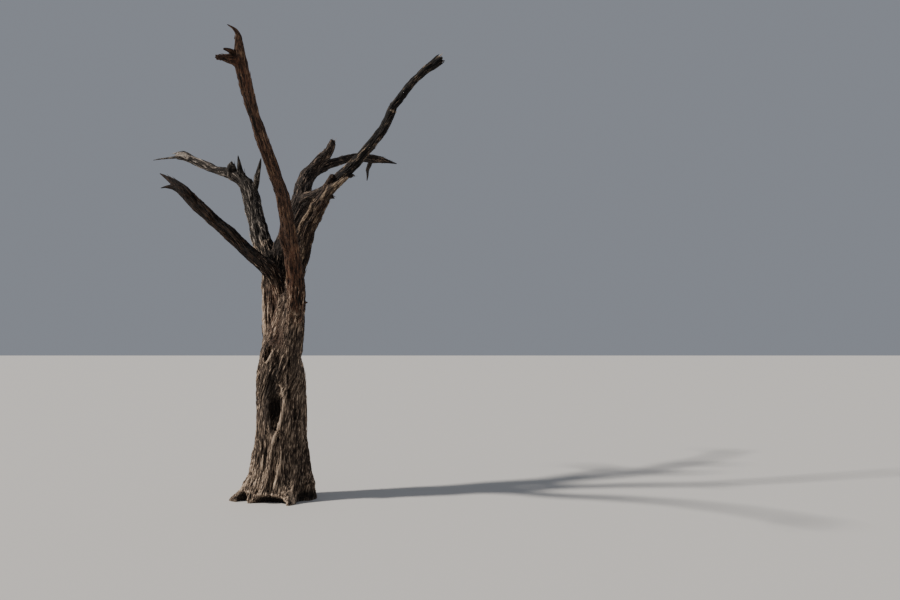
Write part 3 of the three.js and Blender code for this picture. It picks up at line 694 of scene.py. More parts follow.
def grainDirection(name, points, run):
    # which way the fibres run: along a limb, or up the trunk and round it as its ridges wind
    if name != "trunk":
        limb = limbs[name]
        return limb["along"][np.clip(np.searchsorted(limb["run"], run), 0, len(limb["run"]) - 1)]
    twist = trunkShape["twist"]
    wind = np.where(points[:, 2] * 1000 > twist["from"], twist["high"], twist["low"])
    waist = trunkShape["sections"][8][1:3]
    away = points[:, :2] - np.array(waist) / 1000
    upward = np.stack([-away[:, 1] * wind, away[:, 0] * wind, np.ones(len(points))], 1)
    return upward / np.linalg.norm(upward, axis=1)[:, None]


def readWood(points):
    # for every point of the skin: the two limbs that are nearest, their share and the grain of each
    blocks = np.clip((points - latticeStart) // blockSize, 0, blockCounts - 1).astype(int)
    parts = {}
    woodSkin(points, blocks, parts)
    count = len(points)
    wood = {
        "first": np.zeros(count, int), "second": np.zeros(count, int),
        "gapFirst": np.full(count, 9.0), "gapSecond": np.full(count, 9.0),
        "grainFirst": np.zeros((count, 3)), "grainSecond": np.zeros((count, 3)),
        "run": np.zeros(count), "out": np.zeros(count), "along": np.zeros((count, 3)),
    }
    for number, name in enumerate(["trunk", *limbs]):
        here, gap, run, angle, out = parts[name]
        grain = np.stack([out * np.cos(angle), out * np.sin(angle), run], 1)
        grain += readSettings["grainShift"] * number
        nearer = gap < wood["gapFirst"][here]
        moved = here[nearer]
        for first, second in (("first", "second"), ("gapFirst", "gapSecond"), ("grainFirst", "grainSecond")):
            wood[second][moved] = wood[first][moved]
        wood["first"][moved] = number
        wood["gapFirst"][moved] = gap[nearer]
        wood["grainFirst"][moved] = grain[nearer]
        wood["run"][moved] = run[nearer]
        wood["out"][moved] = out[nearer]
        wood["along"][moved] = grainDirection(name, points[moved], run[nearer])
        middling = ~nearer & (gap < wood["gapSecond"][here])
        moved = here[middling]
        wood["second"][moved] = number
        wood["gapSecond"][moved] = gap[middling]
        wood["grainSecond"][moved] = grain[middling]
    spread = np.clip((wood["gapSecond"] - wood["gapFirst"]) / readSettings["blendGap"], 0, 1)
    wood["blend"] = 0.5 * (1 - spread * spread * (3 - 2 * spread))
    looks = [woodLooks["trunk"]] + [woodLooks[limb["wood"]] for limb in limbs.values()]
    tones = np.array([linearColour(look["tone"]) for look in looks])
    rises = np.array([look.get("rise", (0, 0.1)) for look in looks])
    pales = np.array([look.get("pale", 0) for look in looks])
    wood["tone"], wood["pale"] = 0, 0
    for limb, part in (("first", 1 - wood["blend"]), ("second", wood["blend"])):
        low, high = rises[wood[limb]].T
        rise = np.clip((points[:, 2] - low) / (high - low), 0, 1)[:, None]
        wood["tone"] = wood["tone"] + part[:, None] * (tones[0] * (1 - rise) + tones[wood[limb]] * rise)
        wood["pale"] = wood["pale"] + part * pales[wood[limb]] * rise[:, 0]
    # painted shade: skin that lies below the limbs' own surfaces, in hollows and holes, is darkened by its
    # depth
    deep = -wood["gapFirst"] / readSettings["shadeDepth"] - readSettings["shadeStart"]
    wood["shade"] = np.clip(deep, 0, 1)
    wood["shade"][points[:, 2] < 1e-4] = 0
    fade = np.clip(points[:, 2] / readSettings["footFade"], 0, 1)
    wood["ease"] = fade * np.clip(wood["out"] / readSettings["fullRelief"], readSettings["leastRelief"], 1)
    share = np.where(wood["first"] == 0, readSettings["trunkKnobs"], 1)
    wood["knobs"] = share * np.clip(points[:, 2] - readSettings["knobsFrom"], readSettings["leastRelief"], 1)
    return wood


# marks on the skin in millimetres: a path of [x, y, z, radius], and how pale, how dark, how red or how
# raised the wood is there
skinMarks = [
    # the worn right lip of the hollow and the ridge that runs on from it to the foot
    {"path": [[88, -198, 1075, 10], [117, -195, 985, 13], [121, -184, 910, 14], [109, -176, 826, 15],
              [75, -182, 718, 16], [28, -146, 605, 15], [2, -138, 512, 14], [-18, -125, 410, 12]],
     "pale": 1.6, "lift": 9},
    {"path": [[-31, -92, 771, 8], [10, -104, 699, 10]], "pale": 1, "lift": 3},
    {"path": [[84, -128, 466, 10], [75, -124, 366, 13], [43, -136, 232, 13], [30, -154, 146, 13]],
     "pale": 1, "lift": 8},
    {"path": [[-150, -110, 250, 12], [-110, -128, 160, 13]], "pale": 0.8, "lift": 6},
    {"path": [[150, -140, 330, 10], [160, -160, 200, 12]], "pale": 0.5, "lift": 5},
    # deep furrows of the foot
    {"path": [[-45, -125, 520, 12], [-62, -135, 330, 14], [-95, -140, 190, 14]], "dark": 0.8, "lift": -9},
    {"path": [[118, -135, 300, 12], [112, -150, 170, 12]], "dark": 0.8, "lift": -10},
    {"path": [[262, -70, 340, 12], [272, -90, 190, 14]], "dark": 0.8, "lift": -10},
    {"path": [[-150, -95, 470, 10], [-190, -95, 260, 12]], "dark": 0.6, "lift": -8},
    # painted shade in the hollow, in the scoop round it and above it
    {"path": [[4, -190, 1140, 50], [-36, -158, 1000, 56], [-42, -142, 880, 54], [-20, -146, 760, 42],
              [10, -150, 650, 24]], "dark": 0.85},
    {"path": [[44, -180, 1010, 34], [36, -170, 900, 46], [34, -160, 780, 40]], "dark": 0.5},
    {"path": [[66, -222, 1290, 46], [52, -222, 1150, 56]], "dark": 0.45},
    # painted shade on the side of the foot that is turned from the light, and painted light on the side that
    # faces it
    {"path": [[165, -98, 560, 60], [195, -85, 430, 66], [225, -92, 300, 70], [240, -90, 190, 60]],
     "dark": 0.32},
    {"path": [[-200, -60, 330, 60], [-185, -80, 230, 64], [-130, -120, 140, 50]], "pale": 0.4},
    # slits in line above and beside the hollow
    {"path": [[165, -205, 1306, 9], [164, -200, 1250, 11]], "dark": 1.5, "lift": -20},
    {"path": [[155, -195, 1168, 10], [155, -190, 1095, 10]], "dark": 1.5, "lift": -20},
    {"path": [[162, -158, 1030, 10], [158, -138, 954, 11]], "dark": 1.5, "lift": -20},
    {"path": [[203, -108, 852, 11], [206, -95, 765, 13]], "dark": 1.5, "lift": -22},
    {"path": [[133, -205, 1202, 9], [139, -197, 1092, 10], [143, -171, 1017, 9]], "pale": 0.7, "lift": 4},
    # the lip of the knot hole
    {"path": [[8, -200, 1425, 8], [13, -222, 1370, 11], [-2, -230, 1335, 12], [-20, -230, 1306, 12],
              [-46, -214, 1288, 9]],
     "pale": 1.6, "lift": 6},
    {"path": [[20, -200, 1560, 12], [-20, -190, 1490, 13], [-52, -170, 1420, 12]], "dark": 0.7, "lift": -9},
    # the crest where the stems part, and the twisted ridges below it
    {"path": [[113, -217, 1857, 14], [93, -226, 1790, 12], [60, -210, 1680, 11], [10, -190, 1540, 11]],
     "pale": 0.7, "lift": 5},
    {"path": [[120, -215, 1780, 10], [100, -215, 1640, 11], [60, -200, 1500, 11]], "dark": 0.8, "lift": -8},
    {"path": [[70, -200, 1740, 9], [36, -185, 1620, 10], [-8, -180, 1500, 9]], "dark": 0.8, "lift": -7},
    {"path": [[106, -205, 1876, 16]], "pale": 1.4, "lift": 6},
    {"path": [[72, -205, 1800, 8], [40, -195, 1700, 9], [-5, -175, 1600, 9]], "pale": 0.8, "lift": 5},
    # painted shade below the leaning stem
    {"path": [[235, -270, 1590, 62], [226, -240, 1440, 66], [208, -220, 1290, 54]], "dark": 0.5},
    # a redder tint over the upper trunk: painted warm reflected light
    {"path": [[-60, -60, 1950, 110], [10, -120, 1700, 120], [60, -150, 1500, 90]],
     "red": 0.42, "pale": -0.12},
    # pale upright ridges of the left stem
    {"path": [[-140, 24, 1963, 14], [-125, 14, 1773, 16], [-119, 1, 1584, 14], [-115, -43, 1444, 12]],
     "pale": 1.3, "lift": 5},
    {"path": [[-88, -40, 1940, 10], [-80, -30, 1772, 12], [-84, -34, 1602, 10]], "pale": 0.7, "lift": 6},
    {"path": [[-108, -10, 1980, 9], [-104, -14, 1800, 10], [-100, -20, 1640, 9]], "dark": 0.8, "lift": -6},
    {"path": [[-60, -40, 1960, 9], [-52, -44, 1840, 10], [-48, -60, 1700, 9]], "dark": 0.8, "lift": -7},
    {"path": [[-20, -30, 1960, 12], [-8, -60, 1850, 12]], "pale": 0.8, "lift": 5},
    # reddish wood with a painted highlight on it
    {"path": [[-30, -40, 2060, 20], [0, -75, 1990, 26], [24, -100, 1920, 24]], "red": 0.6, "pale": 0.3},
    # the leaning stem: pale left edge, smudge and the wrinkled knuckle that it rises from
    {"path": [[236, -733, 2204, 11], [212, -610, 2054, 12], [205, -480, 1900, 12], [190, -380, 1800, 10]],
     "pale": 0.7},
    {"path": [[295, -729, 2154, 16], [289, -682, 2073, 14]], "dark": 0.8, "lift": -3},
    {"path": [[232, -500, 1800, 9], [262, -450, 1745, 9], [290, -415, 1700, 9], [325, -470, 1760, 9],
              [334, -520, 1830, 8]], "dark": 0.8, "lift": -7},
    {"path": [[240, -430, 1735, 14], [275, -370, 1650, 15], [318, -400, 1680, 14]],
     "red": 0.6, "pale": 0.25, "lift": 7},
    {"path": [[265, -510, 1800, 30], [285, -500, 1780, 30], [300, -520, 1860, 34]], "red": 0.5},
    {"path": [[250, -545, 1850, 50], [270, -615, 1975, 54], [290, -690, 2095, 54], [312, -780, 2250, 44]],
     "red": 0.35, "pale": 0.42},
    {"path": [[240, -690, 2120, 22], [260, -640, 2040, 24]], "red": 0.5},
    # painted shade in the crotch between the stems
    {"path": [[41, 30, 2175, 30], [42, -10, 2098, 30], [70, -70, 2000, 26]], "dark": 1},
    {"path": [[291, -258, 2246, 17]], "pale": 1.3, "lift": 15},
    # right bough: bright worn ridges, and the split shell with its dark cleft
    {"path": [[548, -379, 2890, 9], [523, -386, 2835, 11], [476, -368, 2748, 10]], "pale": 1.5, "lift": 6},
    {"path": [[409, -307, 2764, 10], [382, -345, 2689, 13], [335, -334, 2627, 13], [297, -318, 2575, 12],
              [260, -292, 2488, 10]], "pale": 1.5, "lift": 8},
    {"path": [[440, -340, 2740, 12], [400, -350, 2660, 14], [350, -340, 2570, 12]], "dark": 0.8, "lift": -9},
    {"path": [[724, -476, 2926, 9], [677, -462, 2900, 11], [614, -432, 2866, 10], [566, -382, 2810, 9]],
     "pale": 1.6},
    {"path": [[598, -372, 2934, 16], [616, -384, 2944, 14]], "dark": 1, "lift": -10},
    {"path": [[650, -350, 2990, 9], [760, -335, 3100, 9], [860, -320, 3220, 9]], "pale": 0.8, "lift": 4},
    # the sleeve of torn wood round the upper limb, and its snapped end
    {"path": [[1085, -262, 3598, 9], [1118, -250, 3592, 10], [1140, -222, 3592, 9]], "pale": 1.6, "lift": 8},
    {"path": [[1516, -150, 4130, 22], [1550, -110, 4150, 24]], "pale": 1},
    # left arm: bleached end and upper edge
    {"path": [[-1172, 500, 3398, 28], [-1104, 473, 3378, 28], [-1050, 465, 3338, 20]], "pale": 1.6},
    {"path": [[-902, 427, 3240, 16], [-833, 408, 3205, 16], [-765, 400, 3172, 14]], "dark": 0.5},
    {"path": [[-1104, 473, 3390, 14], [-958, 441, 3340, 12], [-844, 405, 3290, 12], [-730, 371, 3225, 12]],
     "pale": 0.7},
    # a looped vein on the left stem, with a hole inside it
    {"path": [[-192, 156, 2574, 8], [-159, 165, 2528, 9], [-129, 142, 2455, 9], [-154, 93, 2390, 9],
              [-200, 121, 2452, 8]], "pale": 1.2, "lift": 8},
    {"path": [[-166, 110, 2470, 18]], "dark": 1.2, "lift": -18},
    # head of the tallest bough: pale rim of the hole, and painted shade in it
    {"path": [[214, -2012, 3434, 8], [232, -2014, 3428, 9], [246, -1988, 3416, 11]], "pale": 1.7, "lift": 4},
    {"path": [[180, -1998, 3426, 14], [198, -1992, 3410, 12]], "dark": 0.8},
    {"path": [[196, -1979, 3385, 26], [220, -1921, 3343, 36], [229, -1856, 3312, 34], [222, -1760, 3260, 26]],
     "red": 0.5},
    # the torn lower edge of the left front bough
    {"path": [[-900, -185, 2880, 10], [-790, -180, 2770, 11], [-620, -165, 2605, 11], [-440, -150, 2450, 11],
              [-260, -140, 2265, 11]], "pale": 0.5},
    # foot: the worn rim over the arch and the pale toes
    {"path": [[-236, -95, 106, 11], [-150, -145, 84, 12], [-11, -155, 92, 13], [110, -180, 70, 12],
              [160, -205, 30, 12]], "pale": 1.2, "lift": 6},
    {"path": [[170, -155, 130, 16], [188, -156, 74, 18], [212, -162, 10, 20]], "pale": 1.6, "lift": 6},
    {"path": [[-214, -67, 220, 16], [-252, -60, 165, 20], [-300, -26, 124, 20], [-350, -30, 86, 14]],
     "pale": 1.3, "lift": 5},
    # painted shade where the foot is undercut to the right of the front toe, and under the left toe
    {"path": [[246, -95, 66, 30], [275, -50, 56, 46], [325, -25, 54, 44], [358, 25, 40, 38]],
     "dark": 1.2, "lift": -10},
    {"path": [[-352, -52, 26, 22], [-318, -50, 50, 34], [-270, -45, 60, 38]], "dark": 0.85},
    {"path": [[230, -130, 560, 30], [220, -140, 430, 34]], "red": 0.5},
    {"path": [[402, 500, 3530, 14]], "pale": 1},
]


def markSkin(points):
    # adds up the marks on every point of the skin
    totals = {kind: np.zeros(len(points)) for kind in ("pale", "dark", "lift", "red")}
    for mark in skinMarks:
        path = np.array(mark["path"]) / 1000
        reach = path[:, 3].max() * 2.2  # beyond this a mark has faded away
        near = ((points > path[:, :3].min(0) - reach) & (points < path[:, :3].max(0) + reach)).all(1)
        near = np.flatnonzero(near)
        weight = np.zeros(len(near))
        for first, second in zip(path, path[1:] if len(path) > 1 else path):
            edge = second[:3] - first[:3]
            away = points[near] - first[:3]
            share = np.clip(away @ edge / max(edge @ edge, 1e-9), 0, 1)
            gap = np.linalg.norm(away - share[:, None] * edge, axis=1)
            radius = first[3] + (second[3] - first[3]) * share
            weight = np.maximum(weight, np.exp(-((gap / radius) ** 2)))
        for kind in totals:
            totals[kind][near] += mark.get(kind, 0) * weight
    return totals


wood = readWood(skinPoints)
marks = markSkin(skinPoints)
footPale, footTop = readSettings["footPale"]
# the foot is paler towards the ground: partly its own wear, partly painted light
wood["pale"] += marks["pale"] + footPale * np.clip(1 - skinPoints[:, 2] / footTop, 0, 1)
wood["tone"] += np.clip(marks["red"], 0, 1)[:, None] * (np.array(linearColour(redWoodAndWarmLight)) - wood["tone"])
# the dark marks go into the same attribute as the painted shade of the hollows, and pale marks take some of
# that shade away
wood["shade"] = np.clip(wood["shade"] + marks["dark"] - readSettings["paleLight"] * marks["pale"], 0, 1)
wood["lift"] = marks["lift"] / 1000
print("wood read:", len(skinPoints), "points")


def socketOf(sockets, key):
    for socket in sockets:
        if socket.identifier == key:
            return socket
    return sockets[key]


def addNode(tree, kind, inputs=(), **settings):
    # one node with its settings. An input takes a value, or the node or output that is linked to it.
    # A kind in capitals is an operation of the Math node.
    if kind.isupper():
        kind, settings = "ShaderNodeMath", {"operation": kind, **settings}
    node = tree.nodes.new(kind)
    for name, value in settings.items():
        setattr(node, name, value)
    for key, value in inputs.items() if isinstance(inputs, dict) else enumerate(inputs):
        socket = socketOf(node.inputs, key)
        if isinstance(value, bpy.types.Node):
            value = value.outputs[0]
        if isinstance(value, bpy.types.NodeSocket):
            tree.links.new(value, socket)
        else:
            socket.default_value = value
    return node


def openTree(name, settings):
    # a tree of geometry nodes with a named input for each setting
    tree = bpy.data.node_groups.new(name, "GeometryNodeTree")
    tree.interface.new_socket("Geometry", in_out="INPUT", socket_type="NodeSocketGeometry")
    for key, value in settings.items():
        kind = "Float" if isinstance(value, float) else "Int" if isinstance(value, int) else "Material"
        socket = tree.interface.new_socket(key, in_out="INPUT", socket_type="NodeSocket" + kind)
        socket.default_value = value
    tree.interface.new_socket("Geometry", in_out="OUTPUT", socket_type="NodeSocketGeometry")
    return tree, addNode(tree, "NodeGroupInput").outputs


def closeTree(tree, geometry, material):
    finished = addNode(tree, "GeometryNodeSetMaterial", {"Geometry": geometry, "Material": material})
    addNode(tree, "NodeGroupOutput", {"Geometry": finished})
    return tree


def runNodes(piece, tree, settings):
    # gives back the plain mesh that a node tree makes of a piece, and takes the piece away
    modifier = piece.modifiers.new(tree.name, "NODES")
    modifier.node_group = tree
    for item in tree.interface.items_tree:
        if item.in_out == "INPUT" and item.name in settings:
            modifier[item.identifier] = settings[item.name]
    evaluated = piece.evaluated_get(bpy.context.evaluated_depsgraph_get())
    mesh = bpy.data.meshes.new_from_object(evaluated)
    bpy.data.objects.remove(piece)
    return mesh


def addAttribute(mesh, name, values):
    kind, field = ("FLOAT", "value") if values.ndim == 1 else ("FLOAT_VECTOR", "vector")
    attribute = mesh.attributes.new(name, kind, "POINT")
    attribute.data.foreach_set(field, values.astype(np.float32).ravel())


def addPiece(name, mesh):
    piece = bpy.data.objects.new(name, mesh)
    bpy.context.scene.collection.objects.link(piece)
    return piece


def newMesh(name, points):
    mesh = bpy.data.meshes.new(name)
    mesh.vertices.add(len(points))
    mesh.vertices.foreach_set("co", points.astype(np.float32).ravel())
    return mesh


def readVectors(data, field):
    values = np.empty(len(data) * 3, np.float32)
    data.foreach_get(field, values)
    return values.reshape(-1, 3)


def placeInside(mesh, places):
    # puts the points of a mesh in these places, a hair inside the solids' box
    hair = 2e-5
    places = np.clip(places, np.array(cadBox[0]) + hair, np.array(cadBox[1]) - hair)
    mesh.vertices.foreach_set("co", places.ravel())
    mesh.update()
    return places


# one dead hardwood, finished apart for each slot of the record; its worn colour is partly a painted highlight
# and its furrow colour partly painted shade
finishSettings = {
    "trunk_wood": {"roughness": 0.86, "furrow": "#120c09", "worn": "#bda791", "streaks": 1.0},
    "tall_bough_wood": {
        "roughness": 0.8, "furrow": "#140b07", "worn": "#755c47", "streaks": 0.7, "specks": 0.9,
    },
    "right_bough_wood": {"roughness": 0.84, "furrow": "#0b0806", "worn": "#94806a", "streaks": 0.8},
    "back_bough_wood": {"roughness": 0.86, "furrow": "#0f0a08", "worn": "#877464", "streaks": 1.0},
    "left_back_wood": {"roughness": 0.88, "furrow": "#100c0a", "worn": "#aca094", "streaks": 1.1},
    "left_front_wood": {"roughness": 0.84, "furrow": "#0a0706", "worn": "#5d4834", "streaks": 0.7},
}
# patterns along the grain: breadth and length of a cell in millimetres, and its detail and strength.
# The thinnest fibres are under 1 mm broad, too fine to show, so they are drawn 4 mm broad.
grainPatterns = {
    "streaks": {"cell": (14.3, 167), "detail": 5.0, "roughness": 0.68, "strength": 1.7},
    "flakes": {"cell": (8.3, 77), "detail": 2.0, "strength": 2.9},
    "fibres": {"cell": (4.17, 50), "detail": 3.0, "strength": 1.3},
    "patches": {"cell": (71, 250), "detail": 2.0, "strength": 0.4},
    "slits": {"cell": (17.2, 200), "detail": 3.0},
    "specks": {"cell": (10.5, 26.3), "detail": 2.0},
}
# how the patterns colour the wood: each gain is the steepness of a change and each start its place
wearAndShadeSettings = {
    "reliefShare": 0.34, "reliefStart": 0.56, "paleShare": 0.6,
    "toneGain": 1.9, "wornGain": 2.6, "wornStart": -1.6,
    "slitHalf": 0.026, "slitDark": 0.85, "slitSunk": 0.4,
    "speckGain": 9.0, "speckStart": -5.3, "shadeDark": 0.9,
    "bump": 0.9, "bumpHeight": 0.008, "fibreBump": 0.5,
}
materialAttributes = ("grainFirst", "grainSecond", "blend", "tone", "shade", "pale", "relief")


def woodMaterial(name, look):
    # weathered dead hardwood, dry and matt: dark furrows and slits, worn pale ridges and fine fibres, with
    # painted shade in the low relief and a painted highlight on the high relief
    material = bpy.data.materials.new(name)
    material.use_nodes = True
    tree = material.node_tree
    tree.nodes.clear()
    read = {key: addNode(tree, "ShaderNodeAttribute", attribute_name=key) for key in materialAttributes}
    relief, pale, shade = (read[key].outputs["Fac"] for key in ("relief", "pale", "shade"))
    made = {}
    for key, pattern in grainPatterns.items():
        if key == "specks" and key not in look:
            continue
        across, along = (round(1000 / size) for size in pattern["cell"])
        both = []
        for grain in ("grainFirst", "grainSecond"):
            placed = addNode(tree, "ShaderNodeMapping", {
                "Vector": read[grain].outputs["Vector"], "Scale": (across, across, along),
            })
            both.append(addNode(tree, "ShaderNodeTexNoise", {
                "Vector": placed, "Scale": 1.0, "Detail": pattern["detail"],
                "Roughness": pattern.get("roughness", 0.6),
            }))
        made[key] = addNode(tree, "ShaderNodeMix", {
            "Factor_Float": read["blend"].outputs["Fac"], "A_Float": both[0], "B_Float": both[1],
        })
    wearAndShade = wearAndShadeSettings
    level = addNode(tree, "MULTIPLY_ADD", [relief, wearAndShade["reliefShare"], wearAndShade["reliefStart"]])
    for key in ("streaks", "flakes", "fibres", "patches"):
        strength = grainPatterns[key]["strength"] * (look["streaks"] if key == "streaks" else 1)
        centred = addNode(tree, "SUBTRACT", [made[key], 0.5])
        centred = addNode(tree, "MULTIPLY", [centred, strength])
        level = addNode(tree, "ADD", [level, centred])
    level = addNode(tree, "MULTIPLY_ADD", [pale, wearAndShade["paleShare"], level], use_clamp=True)
    slit = addNode(tree, "SUBTRACT", [made["slits"], 0.5])
    slit = addNode(tree, "ABSOLUTE", [slit])
    slit = addNode(tree, "DIVIDE", [slit, wearAndShade["slitHalf"]])
    slit = addNode(tree, "SUBTRACT", [1.0, slit], use_clamp=True)
    furrow = (*linearColour(look["furrow"]), 1)
    worn = (*linearColour(look["worn"]), 1)
    # low relief goes towards the dark furrow colour, partly the grain's darker wood and partly painted shade;
    # high relief goes to the worn colour, partly wear and partly a painted highlight
    toned = addNode(tree, "MULTIPLY", [level, wearAndShade["toneGain"]], use_clamp=True)
    rubbed = addNode(tree, "MULTIPLY_ADD", [level, wearAndShade["wornGain"], wearAndShade["wornStart"]], use_clamp=True)
    split = addNode(tree, "MULTIPLY", [slit, wearAndShade["slitDark"]])
    # each layer goes over those before it: how much of it shows, and its colour. The last one is the painted
    # shade of the hollows and the dark marks
    layers = [(toned, read["tone"].outputs["Color"]), (rubbed, worn), (split, furrow)]
    if "specks" in look:
        reach = [made["specks"], wearAndShade["speckGain"], wearAndShade["speckStart"]]
        speck = addNode(tree, "MULTIPLY_ADD", reach, use_clamp=True)
        layers.append((addNode(tree, "MULTIPLY", [speck, look["specks"]]), furrow))
    layers.append((addNode(tree, "MULTIPLY", [shade, wearAndShade["shadeDark"]]), furrow))
    colour = furrow
    for share, over in layers:
        colour = addNode(tree, "ShaderNodeMix", {"Factor_Float": share, "A_Color": colour, "B_Color": over},
                         data_type="RGBA").outputs[2]
    height = addNode(tree, "ADD", [made["streaks"], made["flakes"]])
    height = addNode(tree, "MULTIPLY_ADD", [made["fibres"], wearAndShade["fibreBump"], height])
    sunk = addNode(tree, "MULTIPLY", [slit, wearAndShade["slitSunk"]])
    height = addNode(tree, "SUBTRACT", [height, sunk])
    bump = addNode(tree, "ShaderNodeBump", {
        "Strength": wearAndShade["bump"], "Distance": wearAndShade["bumpHeight"], "Height": height,
    })
    shader = addNode(tree, "ShaderNodeBsdfPrincipled", {
        "Base Color": colour, "Roughness": look["roughness"], "Normal": bump, "Specular IOR Level": 0.3,
    })
    addNode(tree, "ShaderNodeOutputMaterial", {"Surface": shader})
    return material


woodMaterials = {name: woodMaterial(name, look) for name, look in finishSettings.items()}

# the relief of the weathered wood, in metres
reliefSettings = {
    "Ridge Height": 0.011,
    "Ridge Breadth": 0.027,
    "Crack Depth": 0.010,
    "Crack Breadth": 0.05,
    "Fine Height": 0.010,
    "Knob Height": 0.016,  # slow swelling along the boughs
    "Seed": 7.0,
    "Wood": woodMaterials["trunk_wood"],
}
# its patterns: the input that gives the breadth, a share of that, how many times longer than broad,
# and detail, step of the seed and distortion
reliefPatterns = {
    "ridges": ("Ridge Breadth", 1.0, 9.0, 3.0, 0.0, 0.2),
    "knobs": ("Ridge Breadth", 3.0, 1.6, 1.0, 3.0, 0.0),
    "cracks": ("Crack Breadth", 1.0, 9.0, 2.0, 11.0, 0.0),
    "fine": ("Ridge Breadth", 0.5, 12.0, 2.0, 21.0, 0.0),
}
# how they turn into height: a ridge's steepness, its roundness and middle level, and the level of the
# noise that a crack follows and half its width there
reliefShape = {"fold": 4.5, "round": 0.6, "middle": 0.6, "crackLevel": 0.47, "crackHalf": 0.03}


def reliefTree():
    tree, given = openTree("wood_relief", reliefSettings)
    read = {}
    for key in ("grainFirst", "grainSecond", "blend", "ease", "knobs", "lift"):
        kind = "FLOAT_VECTOR" if "grain" in key else "FLOAT"
        read[key] = addNode(tree, "GeometryNodeInputNamedAttribute", {"Name": key}, data_type=kind)

    def height(grain):
        # rounded ridges along the grain with sharp furrows between them, long cracks and fine fibres
        made = {}
        for key, (base, share, stretch, detail, seedStep, distortion) in reliefPatterns.items():
            breadth = addNode(tree, "MULTIPLY", [given[base], share])
            across = addNode(tree, "DIVIDE", [1.0, breadth])
            along = addNode(tree, "DIVIDE", [across, stretch])
            size = addNode(tree, "ShaderNodeCombineXYZ", [across, across, along])
            made[key] = addNode(tree, "ShaderNodeTexNoise", {
                "Vector": addNode(tree, "ShaderNodeVectorMath", [grain, size], operation="MULTIPLY"),
                "W": addNode(tree, "ADD", [given["Seed"], seedStep]),
                "Scale": 1.0, "Detail": detail, "Roughness": 0.5, "Distortion": distortion,
            }, noise_dimensions="4D")
        fold = addNode(tree, "SUBTRACT", [made["ridges"], 0.5])
        fold = addNode(tree, "ABSOLUTE", [fold])
        fold = addNode(tree, "MULTIPLY", [fold, reliefShape["fold"]], use_clamp=True)
        fold = addNode(tree, "POWER", [fold, reliefShape["round"]])
        fold = addNode(tree, "SUBTRACT", [fold, reliefShape["middle"]])
        total = addNode(tree, "MULTIPLY", [fold, given["Ridge Height"]])
        crack = addNode(tree, "SUBTRACT", [made["cracks"], reliefShape["crackLevel"]])
        crack = addNode(tree, "ABSOLUTE", [crack])
        crack = addNode(tree, "DIVIDE", [crack, reliefShape["crackHalf"]])
        crack = addNode(tree, "SUBTRACT", [1.0, crack], use_clamp=True)
        crack = addNode(tree, "MULTIPLY", [crack, given["Crack Depth"]])
        total = addNode(tree, "SUBTRACT", [total, crack])
        swings = {}
        for key, size in (("fine", "Fine Height"), ("knobs", "Knob Height")):
            swing = addNode(tree, "SUBTRACT", [made[key], 0.5])
            swings[key] = addNode(tree, "MULTIPLY", [swing, given[size]])
        total = addNode(tree, "MULTIPLY_ADD", [swings["fine"], 2.0, total])
        swelling = addNode(tree, "MULTIPLY", [swings["knobs"], 2.0])
        return total, addNode(tree, "MULTIPLY", [swelling, read["knobs"]])

    first, second = height(read["grainFirst"]), height(read["grainSecond"])
    mixed, swelling = (
        addNode(tree, "ShaderNodeMix", {
            "Factor_Float": read["blend"], "A_Float": first[i], "B_Float": second[i],
        })
        for i in (0, 1)
    )
    stored = addNode(tree, "GeometryNodeStoreNamedAttribute", {
        "Geometry": given["Geometry"], "Name": "relief",
        "Value": addNode(tree, "DIVIDE", [mixed, given["Ridge Height"]]),
    })
    mixed = addNode(tree, "ADD", [mixed, swelling])
    moved = addNode(tree, "MULTIPLY_ADD", [mixed, read["ease"], read["lift"]])
    normal = addNode(tree, "GeometryNodeInputNormal")
    offset = addNode(tree, "ShaderNodeVectorMath", {0: normal, "Scale": moved}, operation="SCALE")
    placed = addNode(tree, "GeometryNodeSetPosition", {"Geometry": stored, "Offset": offset})
    realized = addNode(tree, "GeometryNodeRealizeInstances", {"Geometry": placed})
    return closeTree(tree, realized, given["Wood"])


treeMesh = newMesh("tree_skin", skinPoints)
treeMesh.loops.add(skinQuads.size)
treeMesh.loops.foreach_set("vertex_index", skinQuads.astype(np.int32).ravel())
treeMesh.polygons.add(len(skinQuads))
treeMesh.polygons.foreach_set("loop_start", np.arange(0, skinQuads.size, 4, dtype=np.int32))
treeMesh.update(calc_edges=True)
treeMesh.shade_smooth()
for name in ("grainFirst", "grainSecond", "blend", "ease", "knobs", "lift"):
    addAttribute(treeMesh, name, wood[name])
treeMesh = runNodes(addPiece("tree_skin", treeMesh), reliefTree(), reliefSettings)
points = readVectors(treeMesh.vertices, "co")
wood["relief"] = np.empty(len(points), np.float32)
treeMesh.attributes["relief"].data.foreach_get("value", wood["relief"])
points[:, 2] = np.where(skinPoints[:, 2] == 0, 0, points[:, 2])
points = placeInside(treeMesh, points)
normals = readVectors(treeMesh.vertex_normals, "vector")
print("relief done")

trunkTops = {"trunk_foot": 0.5, "trunk_waist": 1.05, "trunk_fork": 1.65, "trunk_crown": 9.0}  # in metres


def nodeName(name):
    return "".join("_" + letter.lower() if letter.isupper() else letter for letter in name)


def pieceLabels():
    # the piece that each point of the skin belongs to
    pieces = list(trunkTops)
    label = np.searchsorted(list(trunkTops.values()), points[:, 2])
    for number, (name, limb) in enumerate(limbs.items(), 1):
        own = nodeName(limb.get("piece", name))
        if own == "trunk":
            continue
        if own not in pieces:
            pieces.append(own)
        mine = wood["first"] == number
        beyond = mine & (wood["run"] >= limb["cut"])
        label[beyond] = pieces.index(own)
        if "parent" in limb:
            label[mine & ~beyond] = pieces.index(nodeName(limb["parent"]))
    return pieces, label


